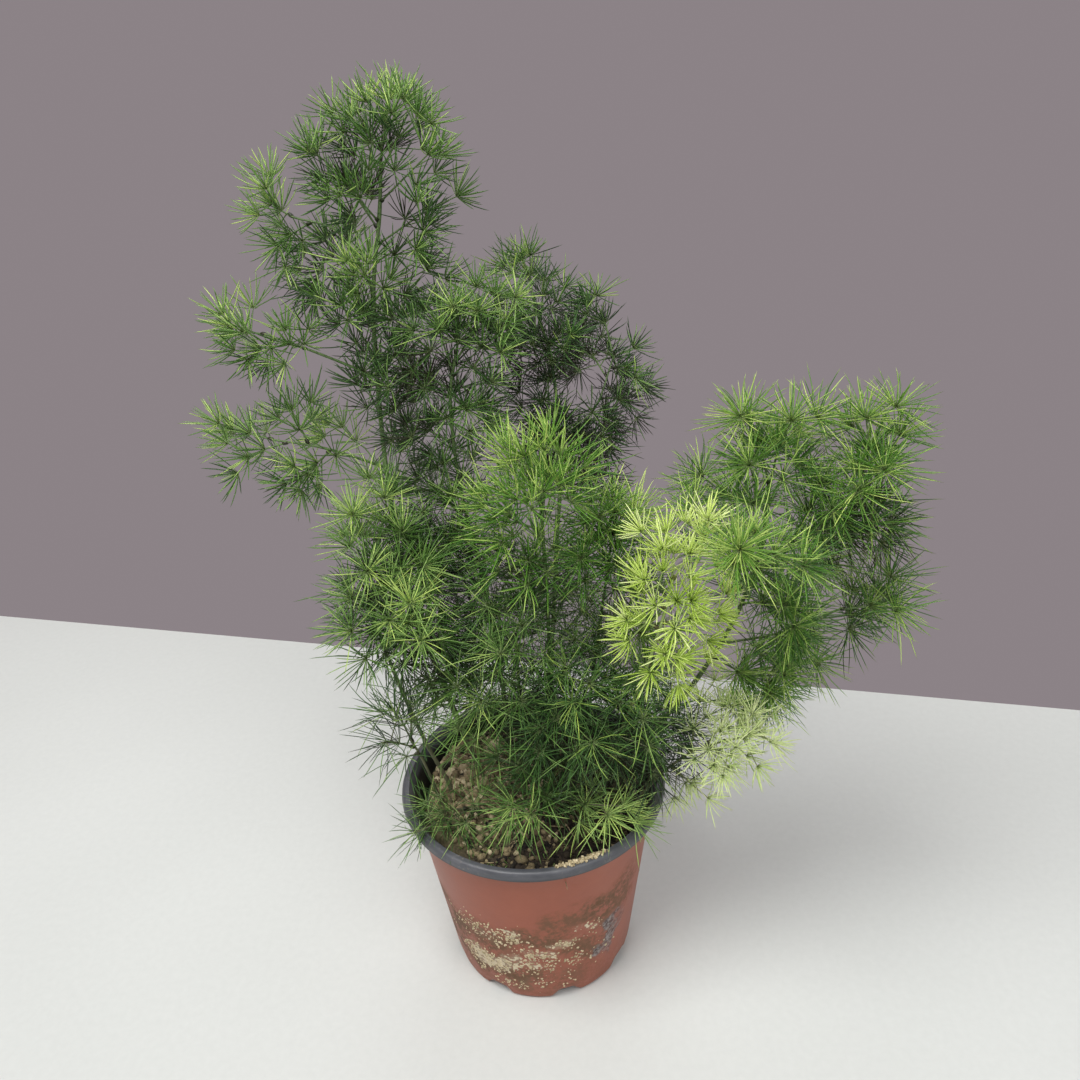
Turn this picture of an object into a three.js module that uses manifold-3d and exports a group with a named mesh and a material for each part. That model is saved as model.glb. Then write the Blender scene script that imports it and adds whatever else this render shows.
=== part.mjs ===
// Ming fern in a plastic nursery pot, in millimetres, +Z up, on z = 0 with the pot's axis at x = y = 0.
// The pot, the soil and each leafy shoot are one closed solid. A shoot is a stem with side sprays, and
// every node of a spray is a small bead whose faces are drawn out into long needles.

import * as THREE from "three";
import * as BufferGeometryUtils from "three/addons/utils/BufferGeometryUtils.js";
import Module from "manifold-3d";

const wasm = await Module();
wasm.setup();
const { Manifold, Mesh } = wasm;

// Pot: a tapered wall under a rim band, on a foot with arched notches
const potHeight = 108;
const rimRadius = 65;
const rimInnerRadius = 61.2;
const rimBandHeight = 5;
const wallTopRadius = 59.4;
const wallFootRadius = 45.6;
const wallThickness = 1.2;
const floorThickness = 1.6;
const notchCount = 8;
const notchHeight = 4;
const notchPhase = -28;
const drainHoleRadius = 3;
const drainHolePlace = 34;

// Soil: peat with a crusty mound at the left and a gap along the left wall
const soilGap = 0.35;
const soilLevel = 95;
const moundHeight = 11;
const crumbHeight = 1.1;

// Shoots
const stemSides = 5;
const armSides = 4;
const twigSides = 3;
const twigRadius = 0.62;
const beadRadius = 1.02;
const beadHalfHeight = 0.85;
const tuftSpacing = 14;
const zigzagWidth = 2.2;
const needleFoot = 0.68;
const needleGap = 0.12;
const needleDraws = 30;
const joinTolerance = 0.1;
const holeClearance = 0.3;
const rootDepth = 11;

// Colours of the photo
const terracotta = "#a5583f";
const peat = "#4a3b2b";
const midGreen = "#3f7335";
const deepGreen = "#2c5a33";
const brightGreen = "#5f9a3a";
const youngGreen = "#a6c73f";
const paleGreen = "#b9cf7c";

// Each shoot: where it stands on the soil, its stem radius, the points its stem passes through, its arms
// as [place on the stem, points...], and its sprays as [line, place on it, tip x, y, z, tufts], where line
// 0 is the stem and 1, 2, 3 are the arms. A place counts points: on a stem 2 is its first point given here,
// on an arm 1 is, and 2.5 is half way from one point to the next.
const shoots = [
  {
    name: "shoot_tall_left",
    colour: midGreen,
    seed: 101,
    foot: [-26, 0],
    radius: 1.6,
    needle: [15, 19],
    stem: [
      [-36, 8, 138], [-47, 18, 172], [-58, 34, 202], [-64, 52, 238],
      [-67, 70, 282], [-66, 82, 326], [-60, 91, 362], [-57, 94, 384],
    ],
    arms: [
      [6.2, [-92, 66, 306], [-114, 65, 316]],
      [5.3, [-90, 47, 266], [-113, 45, 272]],
      [7.1, [-78, 84, 356], [-98, 84, 364]],
    ],
    sprays: [
      [0, 9, -50, 95, 413, 2],
      [0, 8.6, -70, 97, 405, 2],
      [0, 8.8, -35, 84, 406, 2],
      [0, 8.2, -31, 76, 391, 1],
      [0, 7.6, -21, 92, 370, 2],
      [0, 7.4, -34, 66, 360, 1],
      [0, 7.8, -86, 88, 392, 2],
      [0, 7.9, -71, 74, 380, 1],
      [0, 7, -35, 70, 343, 1],
      [0, 6.7, -61, 58, 350, 1],
      [0, 6.9, -92, 108, 352, 1],
      [3, 2, -110, 88, 372, 2],
      [3, 1.6, -106, 72, 353, 2],
      [3, 1.1, -97, 88, 330, 1],
      [0, 6.4, -77, 60, 332, 1],
      [0, 6, -57, 96, 316, 2],
      [1, 2, -134, 70, 317, 2],
      [1, 1.8, -121, 52, 307, 2],
      [1, 1.2, -102, 54, 316, 1],
      [0, 5.8, -67, 48, 304, 2],
      [2, 2, -136, 50, 277, 2],
      [2, 1.7, -125, 34, 268, 2],
      [2, 1.3, -104, 48, 288, 1],
      [2, 0.9, -95, 28, 260, 2],
      [0, 5.2, -99, 84, 266, 1],
      [0, 5, -56, 80, 268, 1],
    ],
  },
  {
    name: "shoot_middle",
    colour: midGreen,
    seed: 151,
    foot: [-12, 14],
    radius: 1.3,
    needle: [15, 19],
    stem: [[-14, 22, 150], [-20, 32, 200], [-28, 42, 245], [-30, 50, 285], [-26, 54, 306]],
    arms: [],
    sprays: [
      [0, 6, -24, 56, 328, 2],
      [0, 5.8, -6, 64, 332, 2],
      [0, 5.6, -40, 60, 328, 2],
      [0, 5.5, -12, 46, 314, 1],
      [0, 5.2, -46, 44, 304, 2],
      [0, 4.9, -14, 42, 288, 2],
      [0, 4.7, -30, 72, 286, 1],
      [0, 4.5, -54, 52, 274, 2],
      [0, 4, -42, 56, 252, 1],
      [0, 3.6, -38, 32, 250, 2],
      [0, 3.2, -36, 24, 232, 2],
      [0, 2.9, -22, 14, 220, 1],
    ],
  },
  {
    name: "shoot_back",
    colour: deepGreen,
    seed: 202,
    foot: [8, 28],
    radius: 1.4,
    needle: [15, 20],
    stem: [[10, 42, 145], [14, 60, 195], [18, 76, 240], [16, 90, 285], [8, 102, 316]],
    arms: [[4.2, [36, 92, 264], [46, 104, 286]]],
    sprays: [
      [0, 6, 2, 110, 337, 2],
      [0, 5.7, 13, 116, 325, 2],
      [0, 5.4, -1, 92, 309, 1],
      [1, 2, 33, 114, 313, 2],
      [0, 5.1, 16, 78, 304, 2],
      [1, 1.6, 26, 124, 288, 2],
      [1, 1.8, 54, 100, 281, 2],
      [1, 1.2, 55, 116, 257, 2],
      [0, 4.6, 8, 74, 276, 1],
      [1, 0.7, 44, 82, 262, 1],
      [0, 4, 38, 96, 238, 2],
      [0, 3.6, 14, 78, 255, 2],
    ],
  },
  {
    name: "shoot_left_bushy",
    colour: midGreen,
    seed: 303,
    foot: [-40, -8],
    radius: 1.3,
    needle: [17, 22],
    stem: [[-50, -6, 135], [-60, -2, 168], [-68, 6, 196], [-72, 14, 220]],
    arms: [],
    sprays: [
      [0, 5, -74, 26, 243, 2],
      [0, 4.9, -57, 36, 250, 2],
      [0, 4.7, -63, 6, 231, 2],
      [0, 4.5, -45, 10, 229, 2],
      [0, 4.4, -29, 20, 227, 1],
      [0, 4.2, -54, -11, 226, 1],
      [0, 3.6, -40, -16, 212, 2],
      [0, 3.9, -68, 4, 212, 2],
      [0, 3.5, -62, -20, 209, 2],
      [0, 3.2, -47, -16, 193, 1],
    ],
  },
  {
    name: "shoot_centre_bright",
    colour: brightGreen,
    seed: 404,
    foot: [6, 6],
    radius: 1.2,
    needle: [17, 22],
    stem: [[10, 2, 150], [12, 0, 200], [12, -2, 240], [12, -1, 258]],
    arms: [],
    sprays: [
      [0, 5, 5, 0, 283, 2],
      [0, 4.9, 23, -5, 285, 2],
      [0, 4.7, 15, -21, 275, 2],
      [0, 4.5, -3, -2, 267, 2],
      [0, 4.4, 14, 18, 264, 1],
      [0, 4.2, -10, -10, 256, 2],
      [0, 3.7, 6, -16, 240, 2],
    ],
  },
  {
    name: "shoot_right_arch",
    colour: brightGreen,
    seed: 505,
    foot: [40, 2],
    radius: 1.5,
    needle: [18, 24],
    stem: [[60, 0, 134], [79, 0, 163], [96, 2, 196], [106, 4, 230], [108, 4, 260]],
    arms: [
      [4.6, [124, 2, 236], [144, 1, 257]],
      [3.6, [118, 4, 186], [142, 3, 198]],
      [4.3, [98, -20, 220], [91, -40, 240]],
    ],
    sprays: [
      [0, 6, 98, 12, 289, 2],
      [0, 5.9, 114, -2, 294, 2],
      [0, 5.6, 124, 26, 277, 1],
      [0, 5.5, 96, -14, 280, 1],
      [1, 2, 146, 8, 290, 2],
      [1, 1.9, 161, 8, 282, 2],
      [1, 1.6, 150, -16, 276, 1],
      [0, 5, 80, 26, 258, 2],
      [0, 4.8, 74, 2, 252, 1],
      [3, 2, 87, -60, 267, 2],
      [3, 1.8, 103, -48, 258, 2],
      [1, 1, 138, -12, 252, 1],
      [1, 0.6, 127, -6, 268, 2],
      [1, 1.3, 161, -2, 244, 2],
      [1, 0.7, 144, 26, 221, 2],
      [0, 4.2, 113, -24, 218, 2],
      [2, 0.9, 121, -16, 195, 1],
      [2, 2, 165, 2, 205, 2],
      [2, 1.6, 160, 20, 186, 2],
      [0, 3.4, 112, -10, 164, 2],
      [2, 0.7, 126, 20, 157, 2],
    ],
  },
  {
    name: "shoot_young",
    colour: youngGreen,
    seed: 606,
    foot: [30, -14],
    radius: 1.1,
    needle: [13, 17],
    stem: [[40, -20, 140], [52, -27, 182], [60, -30, 212], [65, -31, 236]],
    arms: [],
    sprays: [
      [0, 5, 77, -32, 260, 2],
      [0, 4.9, 62, -20, 255, 2],
      [0, 4.4, 52, -34, 240, 1],
      [0, 4.5, 72, -50, 238, 2],
      [0, 4.1, 86, -34, 222, 2],
      [0, 4, 44, -34, 220, 2],
      [0, 3.8, 68, -48, 208, 2],
      [0, 3.3, 82, -24, 194, 1],
    ],
  },
  {
    name: "shoot_centre_right",
    colour: brightGreen,
    seed: 707,
    foot: [24, 10],
    radius: 1.1,
    needle: [18, 22],
    stem: [[30, 10, 150], [36, 8, 196], [40, 6, 224]],
    arms: [],
    sprays: [
      [0, 4, 44, 4, 252, 2],
      [0, 3.8, 30, 14, 242, 2],
      [0, 3.6, 44, -14, 236, 2],
      [0, 3, 59, 6, 189, 2],
    ],
  },
  {
    name: "shoot_low_right",
    colour: paleGreen,
    seed: 808,
    foot: [46, -16],
    radius: 0.9,
    needle: [12, 15],
    stem: [[58, -20, 120], [74, -24, 140], [88, -28, 150]],
    arms: [],
    sprays: [
      [0, 4, 105, -30, 159, 2],
      [0, 3, 80, -12, 163, 1],
      [0, 3.5, 96, -18, 166, 1],
      [0, 3.6, 91, -42, 154, 2],
      [0, 2.5, 84, -33, 120, 2],
    ],
  },
  {
    name: "shoot_centre_left",
    colour: midGreen,
    seed: 909,
    foot: [-4, -8],
    radius: 1.3,
    needle: [16, 21],
    stem: [[-4, -8, 130], [-3, -6, 160], [-3, -2, 190]],
    arms: [[2.4, [4, 20, 146], [8, 34, 160]]],
    sprays: [
      [0, 4, 4, 2, 224, 2],
      [0, 3.8, -22, 8, 214, 2],
      [0, 3.6, 2, -22, 212, 1],
      [0, 3.2, -28, -10, 182, 1],
      [0, 3, -12, -24, 188, 1],
      [0, 2.7, -22, -22, 168, 2],
      [1, 2, 21, 52, 199, 2],
      [1, 1.7, 32, 46, 182, 1],
      [1, 1.3, -21, 42, 175, 1],
      [0, 3.1, -37, 12, 172, 1],
    ],
  },
  {
    name: "shoot_centre_low",
    colour: deepGreen,
    seed: 959,
    foot: [19, -5],
    radius: 1.1,
    needle: [16, 21],
    stem: [[20, -7, 125], [24, -8, 145], [27, -6, 160]],
    arms: [],
    sprays: [
      [0, 4, 33, 2, 181, 2],
      [0, 3.8, 16, -16, 180, 2],
      [0, 3.6, 58, -14, 183, 2],
      [0, 3.3, 22, -32, 166, 1],
      [0, 3.2, 40, -34, 160, 2],
      [0, 2.9, 2, -26, 157, 2],
      [0, 2.8, 58, -23, 148, 2],
      [0, 2.6, 70, -14, 150, 1],
    ],
  },
  {
    name: "shoot_front_low",
    colour: midGreen,
    seed: 1010,
    foot: [12, -22],
    radius: 1,
    needle: [17, 22],
    stem: [[10, -26, 112], [7, -32, 124]],
    arms: [],
    sprays: [
      [0, 3, -3, -36, 146, 2],
      [0, 2.9, 10, -43, 133, 2],
      [0, 2.6, -7, -49, 133, 1],
      [0, 2.3, 18, -31, 142, 2],
      [0, 2.5, 46, -41, 126, 2],
    ],
  },
  {
    name: "shoot_left_dark",
    colour: deepGreen,
    seed: 1111,
    foot: [-44, -16],
    radius: 1,
    needle: [19, 24],
    stem: [[-50, -15, 130], [-54, -18, 146]],
    arms: [],
    sprays: [
      [0, 3, -52, -14, 168, 2],
      [0, 2.8, -65, -10, 161, 2],
      [0, 2.6, -66, -29, 153, 2],
      [0, 2.3, -54, -37, 151, 1],
    ],
  },
  {
    name: "shoot_left_low",
    colour: midGreen,
    seed: 1212,
    foot: [-28, -24],
    radius: 0.9,
    needle: [16, 21],
    stem: [[-29, -28, 113]],
    arms: [],
    sprays: [
      [0, 2, -24, -38, 124, 1],
      [0, 1.9, -42, -37, 118, 2],
      [0, 1.7, -53, -46, 115, 1],
    ],
  },
];

// Vectors
const at = (x, y, z) => new THREE.Vector3(x, y, z);
const mixed = (a, b, share) => a.clone().lerp(b, share);
const directed = (from, to) => to.clone().sub(from).normalize();

function draws(start) {
  let seed = start;
  return () => {
    seed = (seed * 1664525 + 1013904223) % 4294967296;
    return seed / 4294967296;
  };
}

// Closed solid from corner points and faces
function closedSolid(points, faces) {
  return Manifold.ofMesh(
    new Mesh({
      numProp: 3,
      vertProperties: new Float32Array(points.flatMap((p) => [p.x, p.y, p.z])),
      triVerts: new Uint32Array(faces.flat()),
    }),
  );
}

function asMesh(name, solid, colour, roughness) {
  const { vertProperties, triVerts } = solid.getMesh();
  const geometry = new THREE.BufferGeometry();
  geometry.setAttribute("position", new THREE.BufferAttribute(vertProperties, 3));
  geometry.setIndex(new THREE.BufferAttribute(triVerts, 1));
  const flat = BufferGeometryUtils.mergeVertices(geometry, 1e-5).toNonIndexed();
  flat.computeVertexNormals();
  const material = new THREE.MeshStandardMaterial({ color: colour, roughness, metalness: 0 });
  const mesh = new THREE.Mesh(flat, material);
  mesh.name = name;
  return mesh;
}

// Angles round the pot: the same six for each notch of the foot, with the flat of a foot between notches
const notchTurns = [-18, -10.5, -5, 5, 10.5, 18];
const notchRise = [0, 0, 1, 1, 0, 0];
const notchCover = [0, 1, 1, 1, 1, 0];
const turns = [];
for (let i = 0; i < notchCount; i += 1) {
  notchTurns.forEach((turn, k) => {
    const angle = THREE.MathUtils.degToRad(notchPhase + (i * 360) / notchCount + turn);
    turns.push({ angle, rise: notchRise[k], cover: notchCover[k] });
  });
}

// How far a notch lifts the floor at radius r. The soil over a notch is lifted a little wider than the notch.
const notchLift = (r, rise) => notchHeight * rise * THREE.MathUtils.smoothstep(r, 30, 41);
const bandFoot = potHeight - rimBandHeight;
const wallRadius = (z) => THREE.MathUtils.lerp(wallFootRadius, wallTopRadius, z / bandFoot);

// Surface turned round the axis, from the pole at the bottom to the pole at the top
function turnedSolid(rows, bottom, top) {
  const points = [bottom];
  const faces = [];
  const count = turns.length;
  rows.forEach((row) => {
    turns.forEach(({ angle, rise, cover }) => {
      const [r, z] = row(rise, angle, cover);
      points.push(at(r * Math.cos(angle), r * Math.sin(angle), z));
    });
  });
  points.push(top);
  const place = (row, i) => 1 + row * count + (i % count);
  for (let i = 0; i < count; i += 1) {
    faces.push([0, place(0, i + 1), place(0, i)]);
    for (let row = 0; row + 1 < rows.length; row += 1) {
      faces.push([place(row, i), place(row, i + 1), place(row + 1, i + 1)]);
      faces.push([place(row, i), place(row + 1, i + 1), place(row + 1, i)]);
    }
    faces.push([place(rows.length - 1, i), place(rows.length - 1, i + 1), points.length - 1]);
  }
  return closedSolid(points, faces);
}

function makePot() {
  const rows = [
    () => [30, 0],
    (rise) => [42, notchLift(42, rise)],
    (rise) => [45.2, 2.2 + notchLift(42, rise) * 0.8],
    () => [wallRadius(9), 9],
    () => [wallRadius(bandFoot), bandFoot],
    () => [rimRadius - 0.4, bandFoot],
    () => [rimRadius, bandFoot + 1.4],
    () => [rimRadius - 1.4, potHeight],
    () => [rimInnerRadius, potHeight - 0.2],
    () => [wallRadius(bandFoot) - wallThickness, bandFoot],
    () => [wallRadius(10) - wallThickness, 10],
    (rise) => [40.8, floorThickness + notchLift(42, rise)],
    () => [30, floorThickness],
  ];
  const shell = turnedSolid(rows, at(0, 0, 0), at(0, 0, floorThickness));
  const holes = [];
  for (let i = 0; i < notchCount; i += 1) {
    const angle = notchPhase + (i * 360) / notchCount;
    const hole = Manifold.cylinder(20, drainHoleRadius, drainHoleRadius, 6, true);
    holes.push(hole.translate([drainHolePlace, 0, 0]).rotate([0, 0, angle]));
  }
  return shell.subtract(Manifold.union(holes));
}

// Height of the soil: peat that dips to the right, with a crumbly mound at the left
function soilHeight(x, y) {
  const mound = Math.exp(-(((x + 30) / 26) ** 2) - ((y - 2) / 34) ** 2);
  const slope = -0.045 * x + 0.03 * y;
  const ripple = Math.sin(x * 0.61 + y * 0.37) + Math.sin(y * 0.83 - x * 0.29) + Math.sin(x * 1.13 + 2);
  return soilLevel + moundHeight * mound + slope + (crumbHeight * ripple) / 3;
}

// Soil under that surface, inside the pot's wall, with a trench along the left and a hole for each stem
function makeSoil() {
  const inner = (z) => wallRadius(z) - wallThickness - soilGap;
  const edge = inner(92);
  const trench = (angle) => Math.max(0, Math.cos(angle - Math.PI * 0.96)) ** 0.5;
  const surface = (share) => (rise, angle) => {
    const r = (edge - 0.6 - 5 * trench(angle)) * share;
    return [r, soilHeight(r * Math.cos(angle), r * Math.sin(angle))];
  };
  const rows = [
    () => [29.5, floorThickness + soilGap],
    (rise, angle, cover) => [40, floorThickness + soilGap + 0.1 + notchLift(42, cover)],
    () => [inner(11), 11],
    (rise, angle) => [inner(93 - 5 * trench(angle)), 93 - 5 * trench(angle)],
    surface(1),
    surface(0.86),
    surface(0.7),
    surface(0.5),
  ];
  const body = turnedSolid(rows, at(0, 0, floorThickness + soilGap), at(0, 0, soilHeight(0, 0)));
  const holes = shoots.map(({ foot: [x, y], radius }) => {
    const bottom = soilHeight(x, y) - rootDepth - holeClearance;
    const wide = (radius + holeClearance) / Math.cos(Math.PI / 6);
    return Manifold.cylinder(40, wide, wide, 6).translate([x, y, bottom]);
  });
  return body.subtract(Manifold.union(holes));
}

// Smooth path through points, read at a place counted in points
function along(points, place) {
  const last = points.length - 1;
  const i = Math.min(Math.floor(place), last - 1);
  const t = place - i;
  const b = points[i];
  const c = points[i + 1];
  const a = i > 0 ? points[i - 1] : b.clone().multiplyScalar(2).sub(c);
  const d = i + 2 <= last ? points[i + 2] : c.clone().multiplyScalar(2).sub(b);
  const weigh = (axis) => {
    const pull = [2 * b[axis], c[axis] - a[axis]];
    const square = 2 * a[axis] - 5 * b[axis] + 4 * c[axis] - d[axis];
    const cube = 3 * b[axis] - a[axis] - 3 * c[axis] + d[axis];
    return 0.5 * (pull[0] + pull[1] * t + square * t * t + cube * t * t * t);
  };
  return at(weigh("x"), weigh("y"), weigh("z"));
}

const heading = (points, place) => {
  const last = points.length - 1;
  const from = Math.max(0, Math.min(place, last) - 0.02);
  return directed(along(points, from), along(points, Math.min(last, from + 0.04)));
};

// Stem and arms of a shoot as point lists, all starting on the stem's own centre line
function stemLines({ foot: [x, y], stem, arms }) {
  const ground = soilHeight(x, y);
  const main = [at(x, y, ground - rootDepth), at(x, y, ground + 3), ...stem.map((p) => at(...p))];
  const lines = [main];
  arms.forEach(([place, ...points]) => {
    lines.push([along(main, place), ...points.map((p) => at(...p))]);
  });
  return lines;
}

// Nodes of a spray from root to tip: it leaves along the stem, bends over and zigzags from node to node
function sprayNodes(line, place, tip, tufts, draw) {
  const root = along(line, place);
  const length = root.distanceTo(tip);
  const pull = root.clone().addScaledVector(heading(line, place), length * 0.3);
  const control = mixed(pull, tip, 0.3);
  const bend = (u) => mixed(mixed(root, control, u), mixed(control, tip, u), u);
  const side = directed(root, tip).cross(at(0, 0, 1)).normalize();
  const nodes = [root];
  const first = Math.max(0.3, 1 - (tufts * tuftSpacing) / length);
  if (first * length > 28) {
    nodes.push(bend(first * 0.6));
  }
  for (let k = tufts - 1; k >= 0; k -= 1) {
    const share = 1 - ((1 - first) * k) / tufts;
    const swing = (k % 2 ? 1 : -1) * zigzagWidth * (0.5 + draw());
    nodes.push(bend(share).addScaledVector(side, k ? swing : 0));
  }
  return nodes;
}

// Distance between two straight pieces, with where on each they come nearest
function nearest(p, q, r, s) {
  const first = q.clone().sub(p);
  const second = s.clone().sub(r);
  const between = p.clone().sub(r);
  const a = first.dot(first);
  const e = second.dot(second);
  const f = second.dot(between);
  const c = first.dot(between);
  const b = first.dot(second);
  const spread = a * e - b * b;
  const clamp = (value) => Math.max(0, Math.min(1, value));
  let u = spread > 1e-9 ? clamp((b * f - c * e) / spread) : 0;
  let v = (b * u + f) / e;
  if (v < 0 || v > 1) {
    v = clamp(v);
    u = clamp((b * v - c) / a);
  }
  return { gap: mixed(p, q, u).distanceTo(mixed(r, s, v)), u, v };
}

// Straight pieces already standing, each with a radius at both ends
const standing = [];
const stand = (from, to, thickFrom, thickTo, owner) => {
  const middle = mixed(from, to, 0.5);
  standing.push({ from, to, thickFrom, thickTo, owner, middle, reach: from.distanceTo(to) / 2 });
};

function isClear(from, to, thick, owner, spacing) {
  const middle = mixed(from, to, 0.5);
  const reach = from.distanceTo(to) / 2;
  return standing.every((other) => {
    if (other.owner === owner || other.middle.distanceTo(middle) > reach + other.reach + 3) {
      return true;
    }
    const { gap, u, v } = nearest(from, to, other.from, other.to);
    const mine = thick * (1 - u) + 0.06;
    return gap > mine + THREE.MathUtils.lerp(other.thickFrom, other.thickTo, v) + spacing;
  });
}

// Ring of a tube: a centre, the way it faces, its radius and its turn
function ringFrame(facing, before) {
  const side = before ?? at(0.31, 0.83, 0.46);
  const x = side.clone().addScaledVector(facing, -side.dot(facing)).normalize();
  return { x, y: facing.clone().cross(x) };
}

// Tube through rings, closed at both ends. Faces between beaded rings are handed to spike().
function tubeSolid(rings, sides, spike) {
  const points = [];
  const faces = [];
  let side = null;
  const place = (ring, i) => ring * sides + (i % sides);
  rings.forEach(({ centre, facing, radius }) => {
    const { x, y } = ringFrame(facing, side);
    side = x;
    for (let i = 0; i < sides; i += 1) {
      const angle = (i * 2 * Math.PI) / sides;
      const p = centre.clone().addScaledVector(x, radius * Math.cos(angle));
      points.push(p.addScaledVector(y, radius * Math.sin(angle)));
    }
  });
  const last = rings.length - 1;
  points.push(rings[last].centre.clone().addScaledVector(rings[last].facing, rings[last].cap ?? 0));
  const draw = (face, hub) => {
    const apex = hub === undefined ? null : spike(hub, face.map((k) => points[k]));
    if (!apex) {
      faces.push(face);
      return;
    }
    const tip = points.push(apex) - 1;
    face.forEach((k, i) => faces.push([k, face[(i + 1) % 3], tip]));
  };
  for (let i = 1; i + 1 < sides; i += 1) {
    faces.push([0, place(0, i + 1), place(0, i)]);
  }
  for (let ring = 0; ring < last; ring += 1) {
    const hub = rings[ring].hub === rings[ring + 1].hub ? rings[ring].hub : undefined;
    for (let i = 0; i < sides; i += 1) {
      draw([place(ring, i), place(ring, i + 1), place(ring + 1, i + 1)], hub);
      draw([place(ring, i), place(ring + 1, i + 1), place(ring + 1, i)], hub);
    }
  }
  const crown = sides * rings.length;
  for (let i = 0; i < sides; i += 1) {
    draw([place(last, i), place(last, i + 1), crown], rings[last].cap ? rings[last].hub : undefined);
  }
  return closedSolid(points, faces);
}

// Rings of a spray: plain at its root, and three at each node that carries a tuft
function sprayRings(nodes, tufts, name) {
  const rings = [];
  const firstTuft = nodes.length - tufts;
  nodes.forEach((centre, k) => {
    const into = k ? directed(nodes[k - 1], centre) : directed(centre, nodes[1]);
    const out = k + 1 < nodes.length ? directed(centre, nodes[k + 1]) : into;
    const facing = into.clone().add(out).normalize();
    if (k < firstTuft) {
      rings.push({ centre, facing, radius: twigRadius });
      return;
    }
    const hub = { centre, owner: `${name}:${k}` };
    const shifted = (way, by) => centre.clone().addScaledVector(way, by);
    rings.push({ centre: shifted(into, -beadHalfHeight), facing: into, radius: twigRadius, hub });
    rings.push({ centre, facing, radius: beadRadius, hub });
    rings.push({ centre: shifted(out, beadHalfHeight), facing: out, radius: twigRadius, hub });
  });
  rings[rings.length - 1].cap = 0.35;
  return rings;
}

// Layout first, so that every needle knows all stems and twigs of the plant
const layouts = shoots.map((shoot) => {
  const draw = draws(shoot.seed);
  const lines = stemLines(shoot);
  const sprays = shoot.sprays.map(([line, place, x, y, z, tufts]) => ({
    nodes: sprayNodes(lines[line], place, at(x, y, z), tufts, draw),
    tufts,
  }));
  return { shoot, lines, sprays };
});

const stemThickness = (shoot, line, share) => shoot.radius * (line ? 0.62 : 1) * (1 - 0.42 * share);

layouts.forEach(({ shoot, lines, sprays }) => {
  lines.forEach((points, line) => {
    const steps = (points.length - 1) * 3;
    for (let i = 0; i < steps; i += 1) {
      const ends = [i, i + 1].map((k) => along(points, k / 3));
      const thick = stemThickness(shoot, line, i / steps);
      stand(ends[0], ends[1], thick, thick, `${shoot.name}:stem`);
    }
  });
  sprays.forEach(({ nodes, tufts }, s) => {
    for (let k = 0; k + 1 < nodes.length; k += 1) {
      stand(nodes[k], nodes[k + 1], beadRadius, beadRadius, `${shoot.name}:${s}:twig${k}`);
    }
  });
});

// A needle leaves its bead inside the cone of its own face, so needles of one tuft never meet. Where it
// would meet anything else it is drawn again, and then shortened.
function needleMaker(shoot, draw) {
  return (hub, corners) => {
    for (let attempt = 0; attempt < needleDraws; attempt += 1) {
      const shares = [0, 1, 2].map(() => 0.14 + draw());
      const sum = shares[0] + shares[1] + shares[2];
      const foot = at(0, 0, 0);
      corners.forEach((corner, i) => foot.addScaledVector(corner, shares[i] / sum));
      const way = directed(hub.centre, foot);
      const full = THREE.MathUtils.lerp(shoot.needle[0], shoot.needle[1], draw());
      const late = Math.max(0, attempt / needleDraws - 0.5);
      const length = full * (1 - 1.1 * late);
      const tip = hub.centre.clone().addScaledVector(way, length);
      const start = hub.centre.clone().addScaledVector(way, 2.2);
      if (offPot(start, tip) && isClear(start, tip, needleFoot, hub.owner, needleGap)) {
        stand(start, tip, needleFoot, 0.06, hub.owner);
        return tip;
      }
    }
    return null;
  };
}

// Needles keep off the soil and off the pot's rim and wall
function offPot(from, to) {
  const shares = [0, 0.15, 0.3, 0.45, 0.6, 0.75, 0.9, 1];
  return shares.every((share) => {
    const p = mixed(from, to, share);
    const r = Math.hypot(p.x, p.y);
    if (r < wallRadius(bandFoot) - wallThickness - 1.6) {
      return p.z > soilHeight(p.x, p.y) + 2.5;
    }
    return r > rimRadius + 1.5 || p.z > potHeight + 1.5;
  });
}

// One shoot: its stem, arms and sprays joined into one solid
function makeShoot({ shoot, lines, sprays }) {
  const draw = draws(shoot.seed + 5000);
  const parts = [];
  lines.forEach((points, line) => {
    const steps = (points.length - 1) * 2;
    const rings = [];
    for (let i = 0; i <= steps; i += 1) {
      const place = i / 2;
      const upright = line === 0 && place <= 1;
      if (!upright || place !== 0.5) {
        rings.push({
          centre: along(points, place),
          facing: upright ? at(0, 0, 1) : heading(points, place),
          radius: stemThickness(shoot, line, i / steps),
        });
      }
    }
    parts.push(tubeSolid(rings, line ? armSides : stemSides));
  });
  sprays.forEach(({ nodes, tufts }, s) => {
    const rings = sprayRings(nodes, tufts, `${shoot.name}:${s}`);
    parts.push(tubeSolid(rings, twigSides, needleMaker(shoot, draw)));
  });
  return Manifold.union(parts).simplify(joinTolerance);
}

const plant = new THREE.Group();
plant.add(asMesh("pot", makePot(), terracotta, 0.55));
plant.add(asMesh("soil", makeSoil(), peat, 0.95));
layouts.forEach((layout) => {
  const { name, colour } = layout.shoot;
  plant.add(asMesh(name, makeShoot(layout), colour, 0.6));
});

export default plant;
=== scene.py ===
import math
import random

import bpy
import numpy as np
from mathutils import Matrix, Vector, noise


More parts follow.
